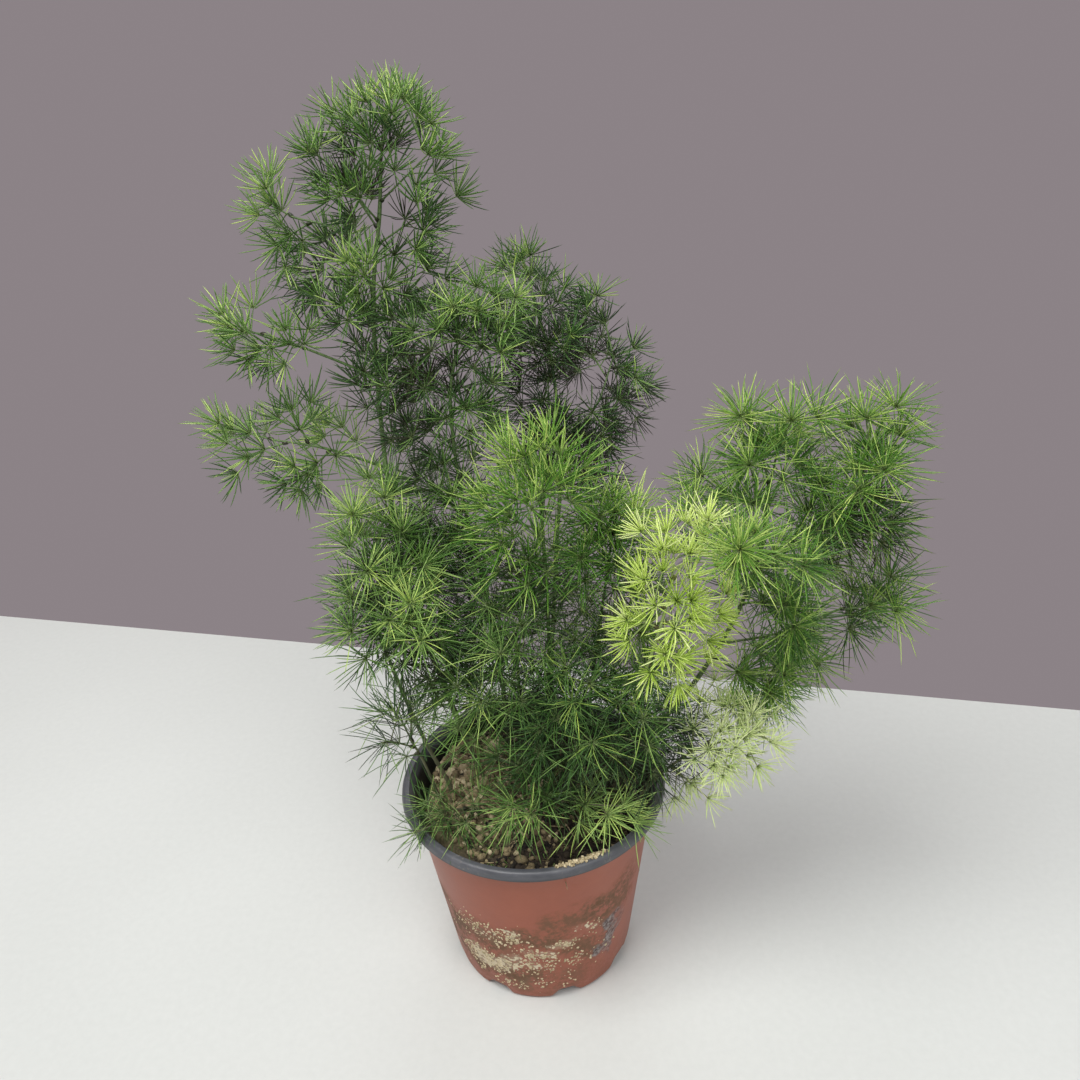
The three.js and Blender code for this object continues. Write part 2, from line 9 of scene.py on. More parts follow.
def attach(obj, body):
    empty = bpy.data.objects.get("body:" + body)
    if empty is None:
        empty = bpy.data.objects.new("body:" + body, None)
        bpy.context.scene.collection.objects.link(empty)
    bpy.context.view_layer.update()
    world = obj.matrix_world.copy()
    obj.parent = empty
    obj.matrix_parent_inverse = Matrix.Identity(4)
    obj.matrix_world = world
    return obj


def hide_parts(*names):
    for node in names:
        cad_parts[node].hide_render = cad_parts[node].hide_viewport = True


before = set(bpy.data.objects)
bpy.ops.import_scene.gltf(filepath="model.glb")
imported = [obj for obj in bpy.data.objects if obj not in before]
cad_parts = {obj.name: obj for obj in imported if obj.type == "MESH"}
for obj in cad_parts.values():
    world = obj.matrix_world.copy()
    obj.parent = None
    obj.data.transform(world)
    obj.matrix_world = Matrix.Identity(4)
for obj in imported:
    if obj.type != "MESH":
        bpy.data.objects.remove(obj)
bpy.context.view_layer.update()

millimetre = 0.001
print("frame loaded:", len(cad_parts), "nodes")


# Small helpers for working with operators

def clearSelection():
    bpy.ops.object.select_all(action="DESELECT")


def chooseOnly(piece):
    clearSelection()
    piece.select_set(True)
    bpy.context.view_layer.objects.active = piece


def editAll(piece):
    chooseOnly(piece)
    bpy.ops.object.mode_set(mode="EDIT")
    bpy.ops.mesh.select_all(action="SELECT")


def leaveEdit():
    bpy.ops.object.mode_set(mode="OBJECT")


def settle(piece):
    # The piece keeps its place in its mesh, and its object sits at the origin
    chooseOnly(piece)
    bpy.ops.object.transform_apply(location=True, rotation=True, scale=True)


def handOver(piece, node=None):
    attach(piece, "root")
    if node:
        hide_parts(node)
    print("piece done:", piece.name, len(piece.data.polygons), "faces")


def meshFrom(name, points, faces):
    data = bpy.data.meshes.new(name)
    data.from_pydata([tuple(p) for p in points], [], [tuple(f) for f in faces])
    data.update()
    piece = bpy.data.objects.new(name, data)
    bpy.context.scene.collection.objects.link(piece)
    return piece


def takeMesh(piece):
    # Points and faces of a model that is only copied, and then the model goes
    points = np.array([vertex.co for vertex in piece.data.vertices])
    faces = np.array([list(face.vertices) for face in piece.data.polygons])
    bpy.data.objects.remove(piece)
    return points, faces


def joinTo(piece, others):
    chooseOnly(piece)
    for other in others:
        other.select_set(True)
    bpy.ops.object.join()
    bpy.ops.object.shade_smooth()


def markVertices(piece, name, values):
    attribute = piece.data.attributes.new(name, "FLOAT", "POINT")
    attribute.data.foreach_set("value", np.asarray(values, np.float32))


# Shader maths: a wire is a socket that can be added, multiplied and so on

class Wire:
    def __init__(self, finish, socket):
        self.finish = finish
        self.socket = socket

    def math(self, operation, *values):
        sockets = dict(enumerate(values))
        return self.finish.node("ShaderNodeMath", {"operation": operation}, sockets)

    def __add__(self, other):
        return self.math("ADD", self, other)

    def __sub__(self, other):
        return self.math("SUBTRACT", self, other)

    def __rsub__(self, other):
        return self.math("SUBTRACT", other, self)

    def __mul__(self, other):
        return self.math("MULTIPLY", self, other)

    def __truediv__(self, other):
        return self.math("DIVIDE", self, other)

    def over(self, low, high):
        # 0 at low, 1 at high, smooth in between
        settings = {"interpolation_type": "SMOOTHSTEP", "clamp": True}
        sockets = {"Value": self, "From Min": low, "From Max": high, "To Min": 0.0, "To Max": 1.0}
        return self.finish.node("ShaderNodeMapRange", settings, sockets)

    __radd__ = __add__
    __rmul__ = __mul__


class Finish:
    def __init__(self, name):
        self.material = bpy.data.materials.new(name)
        self.material.use_nodes = True
        self.tree = self.material.node_tree
        self.tree.nodes.clear()

    def node(self, kind, settings=None, sockets=None, output=0):
        made = self.tree.nodes.new(kind)
        for name, value in (settings or {}).items():
            if name == "stops":
                ramp = made.color_ramp
                while len(ramp.elements) < len(value):
                    ramp.elements.new(0.5)
                for element, (place, colour) in zip(ramp.elements, value):
                    element.position = place
                    element.color = (*colour, 1)
            else:
                setattr(made, name, value)
        for name, value in (sockets or {}).items():
            if isinstance(value, Wire):
                self.tree.links.new(value.socket, made.inputs[name])
            else:
                made.inputs[name].default_value = value
        return Wire(self, made.outputs[output]) if len(made.outputs) else None

    def places(self):
        return self.node("ShaderNodeTexCoord", output="Object")

    def noise(self, places, size, detail=4.0, roughness=0.55):
        sockets = {"Vector": places, "Scale": 1 / size, "Detail": detail, "Roughness": roughness}
        return self.node("ShaderNodeTexNoise", {}, sockets, "Fac")

    def grains(self, places, size):
        sockets = {"Vector": places, "Scale": 1 / size, "Randomness": 1.0}
        return self.node("ShaderNodeTexVoronoi", {}, sockets, "Distance")

    def axes(self, vector):
        # The three numbers of a vector, each a wire
        across = self.node("ShaderNodeSeparateXYZ", {}, {"Vector": vector}, "X")
        return [Wire(self, socket) for socket in across.socket.node.outputs]

    def own(self, name):
        # A number that the piece's own vertices carry
        return self.node("ShaderNodeAttribute", {"attribute_name": name}, output="Fac")

    def mix(self, share, first, second):
        # The Mix node keeps its factor at input 0 and its two colours at 6 and 7
        colours = [(*value, 1) if isinstance(value, tuple) else value for value in (first, second)]
        sockets = {0: share, 6: colours[0], 7: colours[1]}
        return self.node("ShaderNodeMix", {"data_type": "RGBA"}, sockets, 2)

    def ramp(self, value, stops):
        return self.node("ShaderNodeValToRGB", {"stops": stops}, {"Fac": value})

    def bump(self, height, distance, strength=1.0):
        sockets = {"Height": height, "Distance": distance, "Strength": strength}
        return self.node("ShaderNodeBump", {}, sockets)

    def surface(self, **sockets):
        named = {name.replace("_", " "): value for name, value in sockets.items()}
        shader = self.node("ShaderNodeBsdfPrincipled", {}, named)
        self.node("ShaderNodeOutputMaterial", {}, {"Surface": shader})
        return self.material


# Pot: drawn up from a disc in edit mode, row by row, in metres

pot = {
    "sides": 192,
    "height": 0.108,
    "bandFoot": 0.103,
    "wallFootRadius": 0.0456,
    "wallTopRadius": 0.0594,
    "wallThickness": 0.0012,
    "notches": 8,
    "notchTurn": -28.0,
    "notchHeight": 0.004,
    "notchReach": 10.5,  # degrees either way of its middle, with a soft edge this wide
    "notchEdge": 6.0,
    "centreRadius": 0.030,
    "drainHoles": 0.034,
    "drainHoleRadius": 0.003,
    "drainHoleSides": 24,
    "innerFloor": 0.0045,
    "footRing": 0.0405,
    "smoothAngle": 35,
    # Radius, height and how much of the notch lifts this row, from the base up the outside and down inside
    "rows": [
        (0.0340, 0.0000, 0.0), (0.0380, 0.0000, 0.45), (0.0420, 0.0000, 1.0), (0.0440, 0.0004, 1.0),
        (0.0449, 0.0013, 0.9), (0.0454, 0.0027, 0.8), (0.0459, 0.0050, 0.45), (0.0464, 0.0075, 0.12),
        (0.0468, 0.0090, 0.0), (0.0491, 0.0260, 0.0), (0.0512, 0.0420, 0.0), (0.0534, 0.0580, 0.0),
        (0.0555, 0.0740, 0.0), (0.0577, 0.0900, 0.0), (0.0593, 0.1024, 0.0), (0.0595, 0.1030, 0.0),
        (0.0643, 0.1030, 0.0), (0.0648, 0.1034, 0.0), (0.0650, 0.1044, 0.0), (0.0648, 0.1060, 0.0),
        (0.0643, 0.1073, 0.0), (0.0636, 0.1079, 0.0), (0.0626, 0.1080, 0.0), (0.0612, 0.1078, 0.0),
        (0.0606, 0.1066, 0.0), (0.0583, 0.1030, 0.0), (0.0562, 0.0880, 0.0), (0.0533, 0.0660, 0.0),
        (0.0503, 0.0440, 0.0), (0.0474, 0.0220, 0.0), (0.0456, 0.0090, 0.0), (0.0430, 0.0030, 0.6),
        (0.0408, 0.0016, 1.0), (0.0360, 0.0016, 0.3), (0.0300, 0.0016, 0.0),
    ],
}


def notchRise(x, y):
    # 1 in the middle of a notch of the foot, 0 between notches
    step = 360 / pot["notches"]
    turn = (math.degrees(math.atan2(y, x)) - pot["notchTurn"] + step / 2) % step - step / 2
    share = min(1.0, max(0.0, (pot["notchReach"] - abs(turn)) / pot["notchEdge"]))
    return share * share * (3 - 2 * share)


def wallRadius(z):
    share = z / pot["bandFoot"]
    return pot["wallFootRadius"] + (pot["wallTopRadius"] - pot["wallFootRadius"]) * share


def turnedUp(name, sides, radius, height, rows):
    # A round closed form: a disc whose edge is drawn out row by row and closed at its last row's middle
    clearSelection()
    bpy.ops.mesh.primitive_circle_add(
        vertices=sides, radius=radius, fill_type="TRIFAN", location=(0, 0, height))
    piece = bpy.context.object
    piece.name = name
    settle(piece)
    editAll(piece)
    bpy.ops.mesh.select_mode(type="EDGE")
    bpy.ops.mesh.select_all(action="DESELECT")
    bpy.ops.mesh.select_non_manifold()
    for nextRadius, nextHeight, *_ in rows:
        bpy.ops.mesh.extrude_edges_move()
        share = nextRadius / radius
        bpy.ops.transform.resize(value=(share, share, 1), center_override=(0, 0, 0))
        bpy.ops.transform.translate(value=(0, 0, nextHeight - height))
        radius = nextRadius
        height = nextHeight
    bpy.ops.mesh.extrude_edges_move()
    bpy.ops.mesh.merge(type="CENTER")
    bpy.ops.mesh.select_all(action="SELECT")
    bpy.ops.mesh.normals_make_consistent(inside=False)
    leaveEdit()
    return piece


def liftNotches(shell):
    lift = {(round(r, 4), round(z, 4)): share for r, z, share in pot["rows"]}
    for vertex in shell.data.vertices:
        x, y, z = vertex.co
        share = lift.get((round(math.hypot(x, y), 4), round(z, 4)), 0.0)
        if share:
            vertex.co.z += pot["notchHeight"] * share * notchRise(x, y)


def drill(shell):
    for i in range(pot["notches"]):
        turn = math.radians(pot["notchTurn"] + 360 * i / pot["notches"])
        place = (pot["drainHoles"] * math.cos(turn), pot["drainHoles"] * math.sin(turn), 0)
        clearSelection()
        bpy.ops.mesh.primitive_cylinder_add(
            vertices=pot["drainHoleSides"], radius=pot["drainHoleRadius"], depth=0.012, location=place)
        drillBit = bpy.context.object
        chooseOnly(shell)
        cut = shell.modifiers.new("drainHole", "BOOLEAN")
        cut.operation = "DIFFERENCE"
        cut.solver = "EXACT"
        cut.object = drillBit
        bpy.ops.object.modifier_apply(modifier=cut.name)
        bpy.data.objects.remove(drillBit)


def unrollWall(shell):
    # The map runs from 0 to 1 round the pot, with its front at the middle, and from 0 to 1 up it
    layer = shell.data.uv_layers.new(name="wallMap")
    for face in shell.data.polygons:
        middle = face.center
        faceTurn = math.atan2(middle.x, -middle.y)
        for corner in face.loop_indices:
            x, y, z = shell.data.vertices[shell.data.loops[corner].vertex_index].co
            turn = math.atan2(x, -y) if math.hypot(x, y) > 1e-6 else faceTurn
            while turn - faceTurn > math.pi:
                turn -= 2 * math.pi
            while faceTurn - turn > math.pi:
                turn += 2 * math.pi
            layer.data[corner].uv = (turn / (2 * math.pi) + 0.5, z / pot["height"])


# Lime and dirt on the wall: patches by their turn from the pot's front in degrees, height in metres,
# half width in degrees, half height in metres, and strength. The lime climbs from left to right
grime = {
    "lime": [
        (-38, 0.0290, 13, 0.0085, 0.60), (-26, 0.0250, 14, 0.0075, 0.66), (-12, 0.0310, 14, 0.0055, 0.60),
        (2, 0.0390, 12, 0.0045, 0.62), (16, 0.0460, 10, 0.0040, 0.60), (30, 0.0520, 10, 0.0045, 0.50),
        (-30, 0.0500, 20, 0.0100, 0.36), (-12, 0.0520, 8, 0.0050, 0.50), (-8, 0.0120, 28, 0.0070, 0.26),
        (14, 0.0290, 24, 0.0110, 0.26),
    ],
    "dirt": [
        (-4, 0.0300, 56, 0.0260, 0.60), (-30, 0.0480, 22, 0.0120, 0.9), (0, 0.0520, 22, 0.0090, 0.9),
        (24, 0.0640, 24, 0.0110, 0.9), (48, 0.0640, 18, 0.0180, 1.0), (-58, 0.0400, 18, 0.0260, 1.0),
        (-24, 0.0240, 30, 0.0110, 0.8), (34, 0.0400, 18, 0.0140, 0.6),
    ],
    "scuff": [(48, 0.0430, 8, 0.0120, 1.0), (42, 0.0290, 8, 0.0100, 1.0)],
    "limeColour": (0.68, 0.59, 0.42),
    "dirtColour": (0.120, 0.074, 0.034),
    "scuffDark": (0.045, 0.047, 0.050),
    "scuffLight": (0.34, 0.34, 0.33),
    "clay": [(0.0, (0.230, 0.054, 0.026)), (0.5, (0.320, 0.084, 0.042)), (1.0, (0.390, 0.118, 0.064))],
    "rim": [(0.3, (0.050, 0.053, 0.062)), (0.55, (0.090, 0.094, 0.106)), (0.75, (0.16, 0.16, 0.17))],
    "inside": (0.012, 0.012, 0.013),
    "dust": (0.30, 0.26, 0.20),
}


def patchShare(patches, turn, height):
    # How much of the patches lies at a place of the wall: 0 outside all of them
    total = 0
    for patchTurn, patchHeight, wide, high, strength in patches:
        across = (turn - patchTurn) / wide
        upward = (height - patchHeight) / high
        total = (1 - (across * across + upward * upward).over(0.1, 1.3)) * strength + total
    return total


def makeClayFinish():
    clay = Finish("clayPlastic")
    places = clay.places()
    across, upward, _ = clay.axes(clay.node("ShaderNodeUVMap", {"uv_map": "wallMap"}))
    cloud = clay.noise(places, 0.018, 6.0, 0.6)
    drift = clay.noise(places, 0.011, 5.0, 0.65)
    speck = clay.noise(places, 0.0022, 5.0, 0.7)
    turn = (across - 0.5) * 360 + (drift - 0.5) * 34
    height = upward * pot["height"] + (cloud - 0.5) * 0.022
    colour = clay.ramp(cloud * 0.5 + drift * 0.3 + speck * 0.2, grime["clay"])

    # Brown dirt, broken up by the noise, with a little of it all round the foot
    foot = (1 - height.over(0.004, 0.034)) * 0.45
    broken = (drift * 0.5 + speck * 0.5).over(0.36, 0.60)
    dirt = (patchShare(grime["dirt"], turn, height) + foot) * broken
    colour = clay.mix(dirt.over(0.0, 1.1) * 0.85, colour, grime["dirtColour"])

    # Lime: a thin film, and crusty flecks that crowd together where there is most of it
    lime = patchShare(grime["lime"], turn, height)
    film = (lime * speck * drift).over(0.04, 0.28) * 0.45
    colour = clay.mix(film, colour, grime["limeColour"])
    fleck = clay.grains(places, 0.0024)
    clumps = clay.noise(places, 0.0050, 4.0, 0.6)
    crust = (lime * (speck * 0.9 + clumps * 2.6 - 1.12) - fleck * 0.8).over(0.0, 0.10)
    colour = clay.mix(crust, colour, grime["limeColour"])

    # Grey scuff at the lower right
    scuff = patchShare(grime["scuff"], turn, height).over(0.1, 0.9) * drift.over(0.32, 0.60)
    worn = clay.mix(speck.over(0.38, 0.64), grime["scuffDark"], grime["scuffLight"])
    colour = clay.mix(scuff * 0.8, colour, worn)

    rough = 0.36 + cloud * 0.12 + (dirt + film + crust + scuff) * 0.30
    relief = clay.bump(crust * 0.8 + film * 0.2 + scuff * 0.2 + speck * 0.10 + dirt * 0.1, 0.0006, 0.9)
    return clay.surface(Base_Color=colour, Roughness=rough, Normal=relief)


def makeRimFinish():
    rim = Finish("rimPlastic")
    places = rim.places()
    cloud = rim.noise(places, 0.014, 5.0, 0.6)
    speck = rim.noise(places, 0.0016, 4.0, 0.7)
    flat = rim.node("ShaderNodeMapping", {}, {"Vector": places, "Scale": (1, 1, 6)})
    scratch = rim.noise(flat, 0.009, 6.0)
    height = rim.axes(places)[2]
    grey = rim.ramp(cloud * 0.6 + scratch * 0.4, grime["rim"])
    colour = rim.mix(height.over(0.1025, 0.1050), grime["inside"], grey)
    dust = speck.over(0.56, 0.70) * cloud.over(0.40, 0.60) * 0.5
    colour = rim.mix(dust, colour, grime["dust"])
    rough = 0.34 + cloud * 0.16 + dust * 0.4
    relief = rim.bump(scratch + speck * 0.4, 0.0003, 0.6)
    return rim.surface(Base_Color=colour, Roughness=rough, Normal=relief)


def makePot():
    shell = turnedUp("potShell", pot["sides"], pot["centreRadius"], 0.0, pot["rows"])
    liftNotches(shell)
    drill(shell)
    unrollWall(shell)
    shell.data.materials.append(makeClayFinish())
    shell.data.materials.append(makeRimFinish())
    for face in shell.data.polygons:
        # Grey where it is the rim band, the wall's inside or the floor's top, clay-coloured elsewhere
        x, y, z = face.center
        radius = math.hypot(x, y)
        band = z > pot["bandFoot"] - 0.0001
        inside = radius < wallRadius(z) - 0.0008 and z > pot["innerFloor"]
        floorTop = z > 0.0008 and radius < pot["footRing"]
        face.material_index = 1 if band or inside or floorTop else 0
    chooseOnly(shell)
    bpy.ops.object.shade_smooth_by_angle(angle=math.radians(pot["smoothAngle"]))
    handOver(shell, "pot")


makePot()


# Growth: the same rule as the solids, in millimetres, so every stem and tuft stands where its solid does.
# Each spray is [line, place on it, tip x, y, z, tufts]. Line 0 is the stem, and 1, 2, 3 are the arms.

shoots = [
    {
        "name": "shoot_tall_left", "slot": "foliage_mid", "seed": 101,
        "foot": [-26, 0], "radius": 1.6, "needle": [15, 19],
        "stem": [
            [-36, 8, 138], [-47, 18, 172], [-58, 34, 202], [-64, 52, 238], [-67, 70, 282], [-66, 82, 326],
            [-60, 91, 362], [-57, 94, 384],
        ],
        "arms": [
            [6.2, [-92, 66, 306], [-114, 65, 316]], [5.3, [-90, 47, 266], [-113, 45, 272]],
            [7.1, [-78, 84, 356], [-98, 84, 364]],
        ],
        "sprays": [
            [0, 9, -50, 95, 413, 2], [0, 8.6, -70, 97, 405, 2], [0, 8.8, -35, 84, 406, 2],
            [0, 8.2, -31, 76, 391, 1], [0, 7.6, -21, 92, 370, 2], [0, 7.4, -34, 66, 360, 1],
            [0, 7.8, -86, 88, 392, 2], [0, 7.9, -71, 74, 380, 1], [0, 7, -35, 70, 343, 1],
            [0, 6.7, -61, 58, 350, 1], [0, 6.9, -92, 108, 352, 1], [3, 2, -110, 88, 372, 2],
            [3, 1.6, -106, 72, 353, 2], [3, 1.1, -97, 88, 330, 1], [0, 6.4, -77, 60, 332, 1],
            [0, 6, -57, 96, 316, 2], [1, 2, -134, 70, 317, 2], [1, 1.8, -121, 52, 307, 2],
            [1, 1.2, -102, 54, 316, 1], [0, 5.8, -67, 48, 304, 2], [2, 2, -136, 50, 277, 2],
            [2, 1.7, -125, 34, 268, 2], [2, 1.3, -104, 48, 288, 1], [2, 0.9, -95, 28, 260, 2],
            [0, 5.2, -99, 84, 266, 1], [0, 5, -56, 80, 268, 1],
        ],
    },
    {
        "name": "shoot_middle", "slot": "foliage_mid", "seed": 151,
        "foot": [-12, 14], "radius": 1.3, "needle": [15, 19],
        "stem": [[-14, 22, 150], [-20, 32, 200], [-28, 42, 245], [-30, 50, 285], [-26, 54, 306]],
        "arms": [],
        "sprays": [
            [0, 6, -24, 56, 328, 2], [0, 5.8, -6, 64, 332, 2], [0, 5.6, -40, 60, 328, 2],
            [0, 5.5, -12, 46, 314, 1], [0, 5.2, -46, 44, 304, 2], [0, 4.9, -14, 42, 288, 2],
            [0, 4.7, -30, 72, 286, 1], [0, 4.5, -54, 52, 274, 2], [0, 4, -42, 56, 252, 1],
            [0, 3.6, -38, 32, 250, 2], [0, 3.2, -36, 24, 232, 2], [0, 2.9, -22, 14, 220, 1],
        ],
    },
    {
        "name": "shoot_back", "slot": "foliage_deep", "seed": 202,
        "foot": [8, 28], "radius": 1.4, "needle": [15, 20],
        "stem": [[10, 42, 145], [14, 60, 195], [18, 76, 240], [16, 90, 285], [8, 102, 316]],
        "arms": [[4.2, [36, 92, 264], [46, 104, 286]]],
        "sprays": [
            [0, 6, 2, 110, 337, 2], [0, 5.7, 13, 116, 325, 2], [0, 5.4, -1, 92, 309, 1],
            [1, 2, 33, 114, 313, 2], [0, 5.1, 16, 78, 304, 2], [1, 1.6, 26, 124, 288, 2],
            [1, 1.8, 54, 100, 281, 2], [1, 1.2, 55, 116, 257, 2], [0, 4.6, 8, 74, 276, 1],
            [1, 0.7, 44, 82, 262, 1], [0, 4, 38, 96, 238, 2], [0, 3.6, 14, 78, 255, 2],
        ],
    },
    {
        "name": "shoot_left_bushy", "slot": "foliage_mid", "seed": 303,
        "foot": [-40, -8], "radius": 1.3, "needle": [17, 22],
        "stem": [[-50, -6, 135], [-60, -2, 168], [-68, 6, 196], [-72, 14, 220]],
        "arms": [],
        "sprays": [
            [0, 5, -74, 26, 243, 2], [0, 4.9, -57, 36, 250, 2], [0, 4.7, -63, 6, 231, 2],
            [0, 4.5, -45, 10, 229, 2], [0, 4.4, -29, 20, 227, 1], [0, 4.2, -54, -11, 226, 1],
            [0, 3.6, -40, -16, 212, 2], [0, 3.9, -68, 4, 212, 2], [0, 3.5, -62, -20, 209, 2],
            [0, 3.2, -47, -16, 193, 1],
        ],
    },
    {
        "name": "shoot_centre_bright", "slot": "foliage_bright", "seed": 404,
        "foot": [6, 6], "radius": 1.2, "needle": [17, 22],
        "stem": [[10, 2, 150], [12, 0, 200], [12, -2, 240], [12, -1, 258]],
        "arms": [],
        "sprays": [
            [0, 5, 5, 0, 283, 2], [0, 4.9, 23, -5, 285, 2], [0, 4.7, 15, -21, 275, 2],
            [0, 4.5, -3, -2, 267, 2], [0, 4.4, 14, 18, 264, 1], [0, 4.2, -10, -10, 256, 2],
            [0, 3.7, 6, -16, 240, 2],
        ],
    },
    {
        "name": "shoot_right_arch", "slot": "foliage_bright", "seed": 505,
        "foot": [40, 2], "radius": 1.5, "needle": [18, 24],
        "stem": [[60, 0, 134], [79, 0, 163], [96, 2, 196], [106, 4, 230], [108, 4, 260]],
        "arms": [
            [4.6, [124, 2, 236], [144, 1, 257]], [3.6, [118, 4, 186], [142, 3, 198]],
            [4.3, [98, -20, 220], [91, -40, 240]],
        ],
        "sprays": [
            [0, 6, 98, 12, 289, 2], [0, 5.9, 114, -2, 294, 2], [0, 5.6, 124, 26, 277, 1],
            [0, 5.5, 96, -14, 280, 1], [1, 2, 146, 8, 290, 2], [1, 1.9, 161, 8, 282, 2],
            [1, 1.6, 150, -16, 276, 1], [0, 5, 80, 26, 258, 2], [0, 4.8, 74, 2, 252, 1],
            [3, 2, 87, -60, 267, 2], [3, 1.8, 103, -48, 258, 2], [1, 1, 138, -12, 252, 1],
            [1, 0.6, 127, -6, 268, 2], [1, 1.3, 161, -2, 244, 2], [1, 0.7, 144, 26, 221, 2],
            [0, 4.2, 113, -24, 218, 2], [2, 0.9, 121, -16, 195, 1], [2, 2, 165, 2, 205, 2],
            [2, 1.6, 160, 20, 186, 2], [0, 3.4, 112, -10, 164, 2], [2, 0.7, 126, 20, 157, 2],
        ],
    },
    {
        "name": "shoot_young", "slot": "foliage_young", "seed": 606,
        "foot": [30, -14], "radius": 1.1, "needle": [13, 17],
        "stem": [[40, -20, 140], [52, -27, 182], [60, -30, 212], [65, -31, 236]],
        "arms": [],
        "sprays": [
            [0, 5, 77, -32, 260, 2], [0, 4.9, 62, -20, 255, 2], [0, 4.4, 52, -34, 240, 1],
            [0, 4.5, 72, -50, 238, 2], [0, 4.1, 86, -34, 222, 2], [0, 4, 44, -34, 220, 2],
            [0, 3.8, 68, -48, 208, 2], [0, 3.3, 82, -24, 194, 1],
        ],
    },
    {
        "name": "shoot_centre_right", "slot": "foliage_bright", "seed": 707,
        "foot": [24, 10], "radius": 1.1, "needle": [18, 22],
        "stem": [[30, 10, 150], [36, 8, 196], [40, 6, 224]],
        "arms": [],
        "sprays": [
            [0, 4, 44, 4, 252, 2], [0, 3.8, 30, 14, 242, 2], [0, 3.6, 44, -14, 236, 2],
            [0, 3, 59, 6, 189, 2],
        ],
    },
    {
        "name": "shoot_low_right", "slot": "foliage_pale", "seed": 808,
        "foot": [46, -16], "radius": 0.9, "needle": [12, 15],
        "stem": [[58, -20, 120], [74, -24, 140], [88, -28, 150]],
        "arms": [],
        "sprays": [
            [0, 4, 105, -30, 159, 2], [0, 3, 80, -12, 163, 1], [0, 3.5, 96, -18, 166, 1],
            [0, 3.6, 91, -42, 154, 2], [0, 2.5, 84, -33, 120, 2],
        ],
    },
    {
        "name": "shoot_centre_left", "slot": "foliage_mid", "seed": 909,
        "foot": [-4, -8], "radius": 1.3, "needle": [16, 21],
        "stem": [[-4, -8, 130], [-3, -6, 160], [-3, -2, 190]],
        "arms": [[2.4, [4, 20, 146], [8, 34, 160]]],
        "sprays": [
            [0, 4, 4, 2, 224, 2], [0, 3.8, -22, 8, 214, 2], [0, 3.6, 2, -22, 212, 1],
            [0, 3.2, -28, -10, 182, 1], [0, 3, -12, -24, 188, 1], [0, 2.7, -22, -22, 168, 2],
            [1, 2, 21, 52, 199, 2], [1, 1.7, 32, 46, 182, 1], [1, 1.3, -21, 42, 175, 1],
            [0, 3.1, -37, 12, 172, 1],
        ],
    },
    {
        "name": "shoot_centre_low", "slot": "foliage_deep", "seed": 959,
        "foot": [19, -5], "radius": 1.1, "needle": [16, 21],
        "stem": [[20, -7, 125], [24, -8, 145], [27, -6, 160]],
        "arms": [],
        "sprays": [
            [0, 4, 33, 2, 181, 2], [0, 3.8, 16, -16, 180, 2], [0, 3.6, 58, -14, 183, 2],
            [0, 3.3, 22, -32, 166, 1], [0, 3.2, 40, -34, 160, 2], [0, 2.9, 2, -26, 157, 2],
            [0, 2.8, 58, -23, 148, 2], [0, 2.6, 70, -14, 150, 1],
        ],
    },
    {
        "name": "shoot_front_low", "slot": "foliage_mid", "seed": 1010,
        "foot": [12, -22], "radius": 1, "needle": [17, 22],
        "stem": [[10, -26, 112], [7, -32, 124]],
        "arms": [],
        "sprays": [
            [0, 3, -3, -36, 146, 2], [0, 2.9, 10, -43, 133, 2], [0, 2.6, -7, -49, 133, 1],
            [0, 2.3, 18, -31, 142, 2], [0, 2.5, 46, -41, 126, 2],
        ],
    },
    {
        "name": "shoot_left_dark", "slot": "foliage_deep", "seed": 1111,
        "foot": [-44, -16], "radius": 1, "needle": [19, 24],
        "stem": [[-50, -15, 130], [-54, -18, 146]],
        "arms": [],
        "sprays": [
            [0, 3, -52, -14, 168, 2], [0, 2.8, -65, -10, 161, 2], [0, 2.6, -66, -29, 153, 2],
            [0, 2.3, -54, -37, 151, 1],
        ],
    },
    {
        "name": "shoot_left_low", "slot": "foliage_mid", "seed": 1212,
        "foot": [-28, -24], "radius": 0.9, "needle": [16, 21],
        "stem": [[-29, -28, 113]],
        "arms": [],
        "sprays": [[0, 2, -24, -38, 124, 1], [0, 1.9, -42, -37, 118, 2], [0, 1.7, -53, -46, 115, 1]],
    },
]

growth = {
    "soilLevel": 95,
    "moundHeight": 11,
    "crumbHeight": 1.1,
    "rootDepth": 11,
    "tuftSpacing": 14,
    "zigzagWidth": 2.2,
    "leafyStart": 0.3,  # place on a spray that its tufts never pass
    "longestBare": 28,
    "stemThickness": 0.9,  # shares of the rule's radius
    "armThickness": 0.46,
    "taper": 0.42,
    "sprayRadii": (0.52, 0.30),
}


def draws(start):
    seed = start

    def draw():
        nonlocal seed
        seed = (seed * 1664525 + 1013904223) % 4294967296
        return seed / 4294967296

    return draw


def soilHeight(x, y):
    mound = math.exp(-(((x + 30) / 26) ** 2) - ((y - 2) / 34) ** 2)
    slope = -0.045 * x + 0.03 * y
    ripple = math.sin(x * 0.61 + y * 0.37) + math.sin(y * 0.83 - x * 0.29) + math.sin(x * 1.13 + 2)
    return growth["soilLevel"] + growth["moundHeight"] * mound + slope + growth["crumbHeight"] * ripple / 3


def along(points, place):
    last = len(points) - 1
    i = min(math.floor(place), last - 1)
    t = place - i
    b, c = points[i], points[i + 1]
    a = points[i - 1] if i > 0 else b * 2 - c
    d = points[i + 2] if i + 2 <= last else c * 2 - b
    square = a * 2 - b * 5 + c * 4 - d
    cube = b * 3 - a - c * 3 + d
    return (b * 2 + (c - a) * t + square * t * t + cube * t * t * t) * 0.5


def heading(points, place):
    last = len(points) - 1
    start = max(0, min(place, last) - 0.02)
    return (along(points, min(last, start + 0.04)) - along(points, start)).normalized()


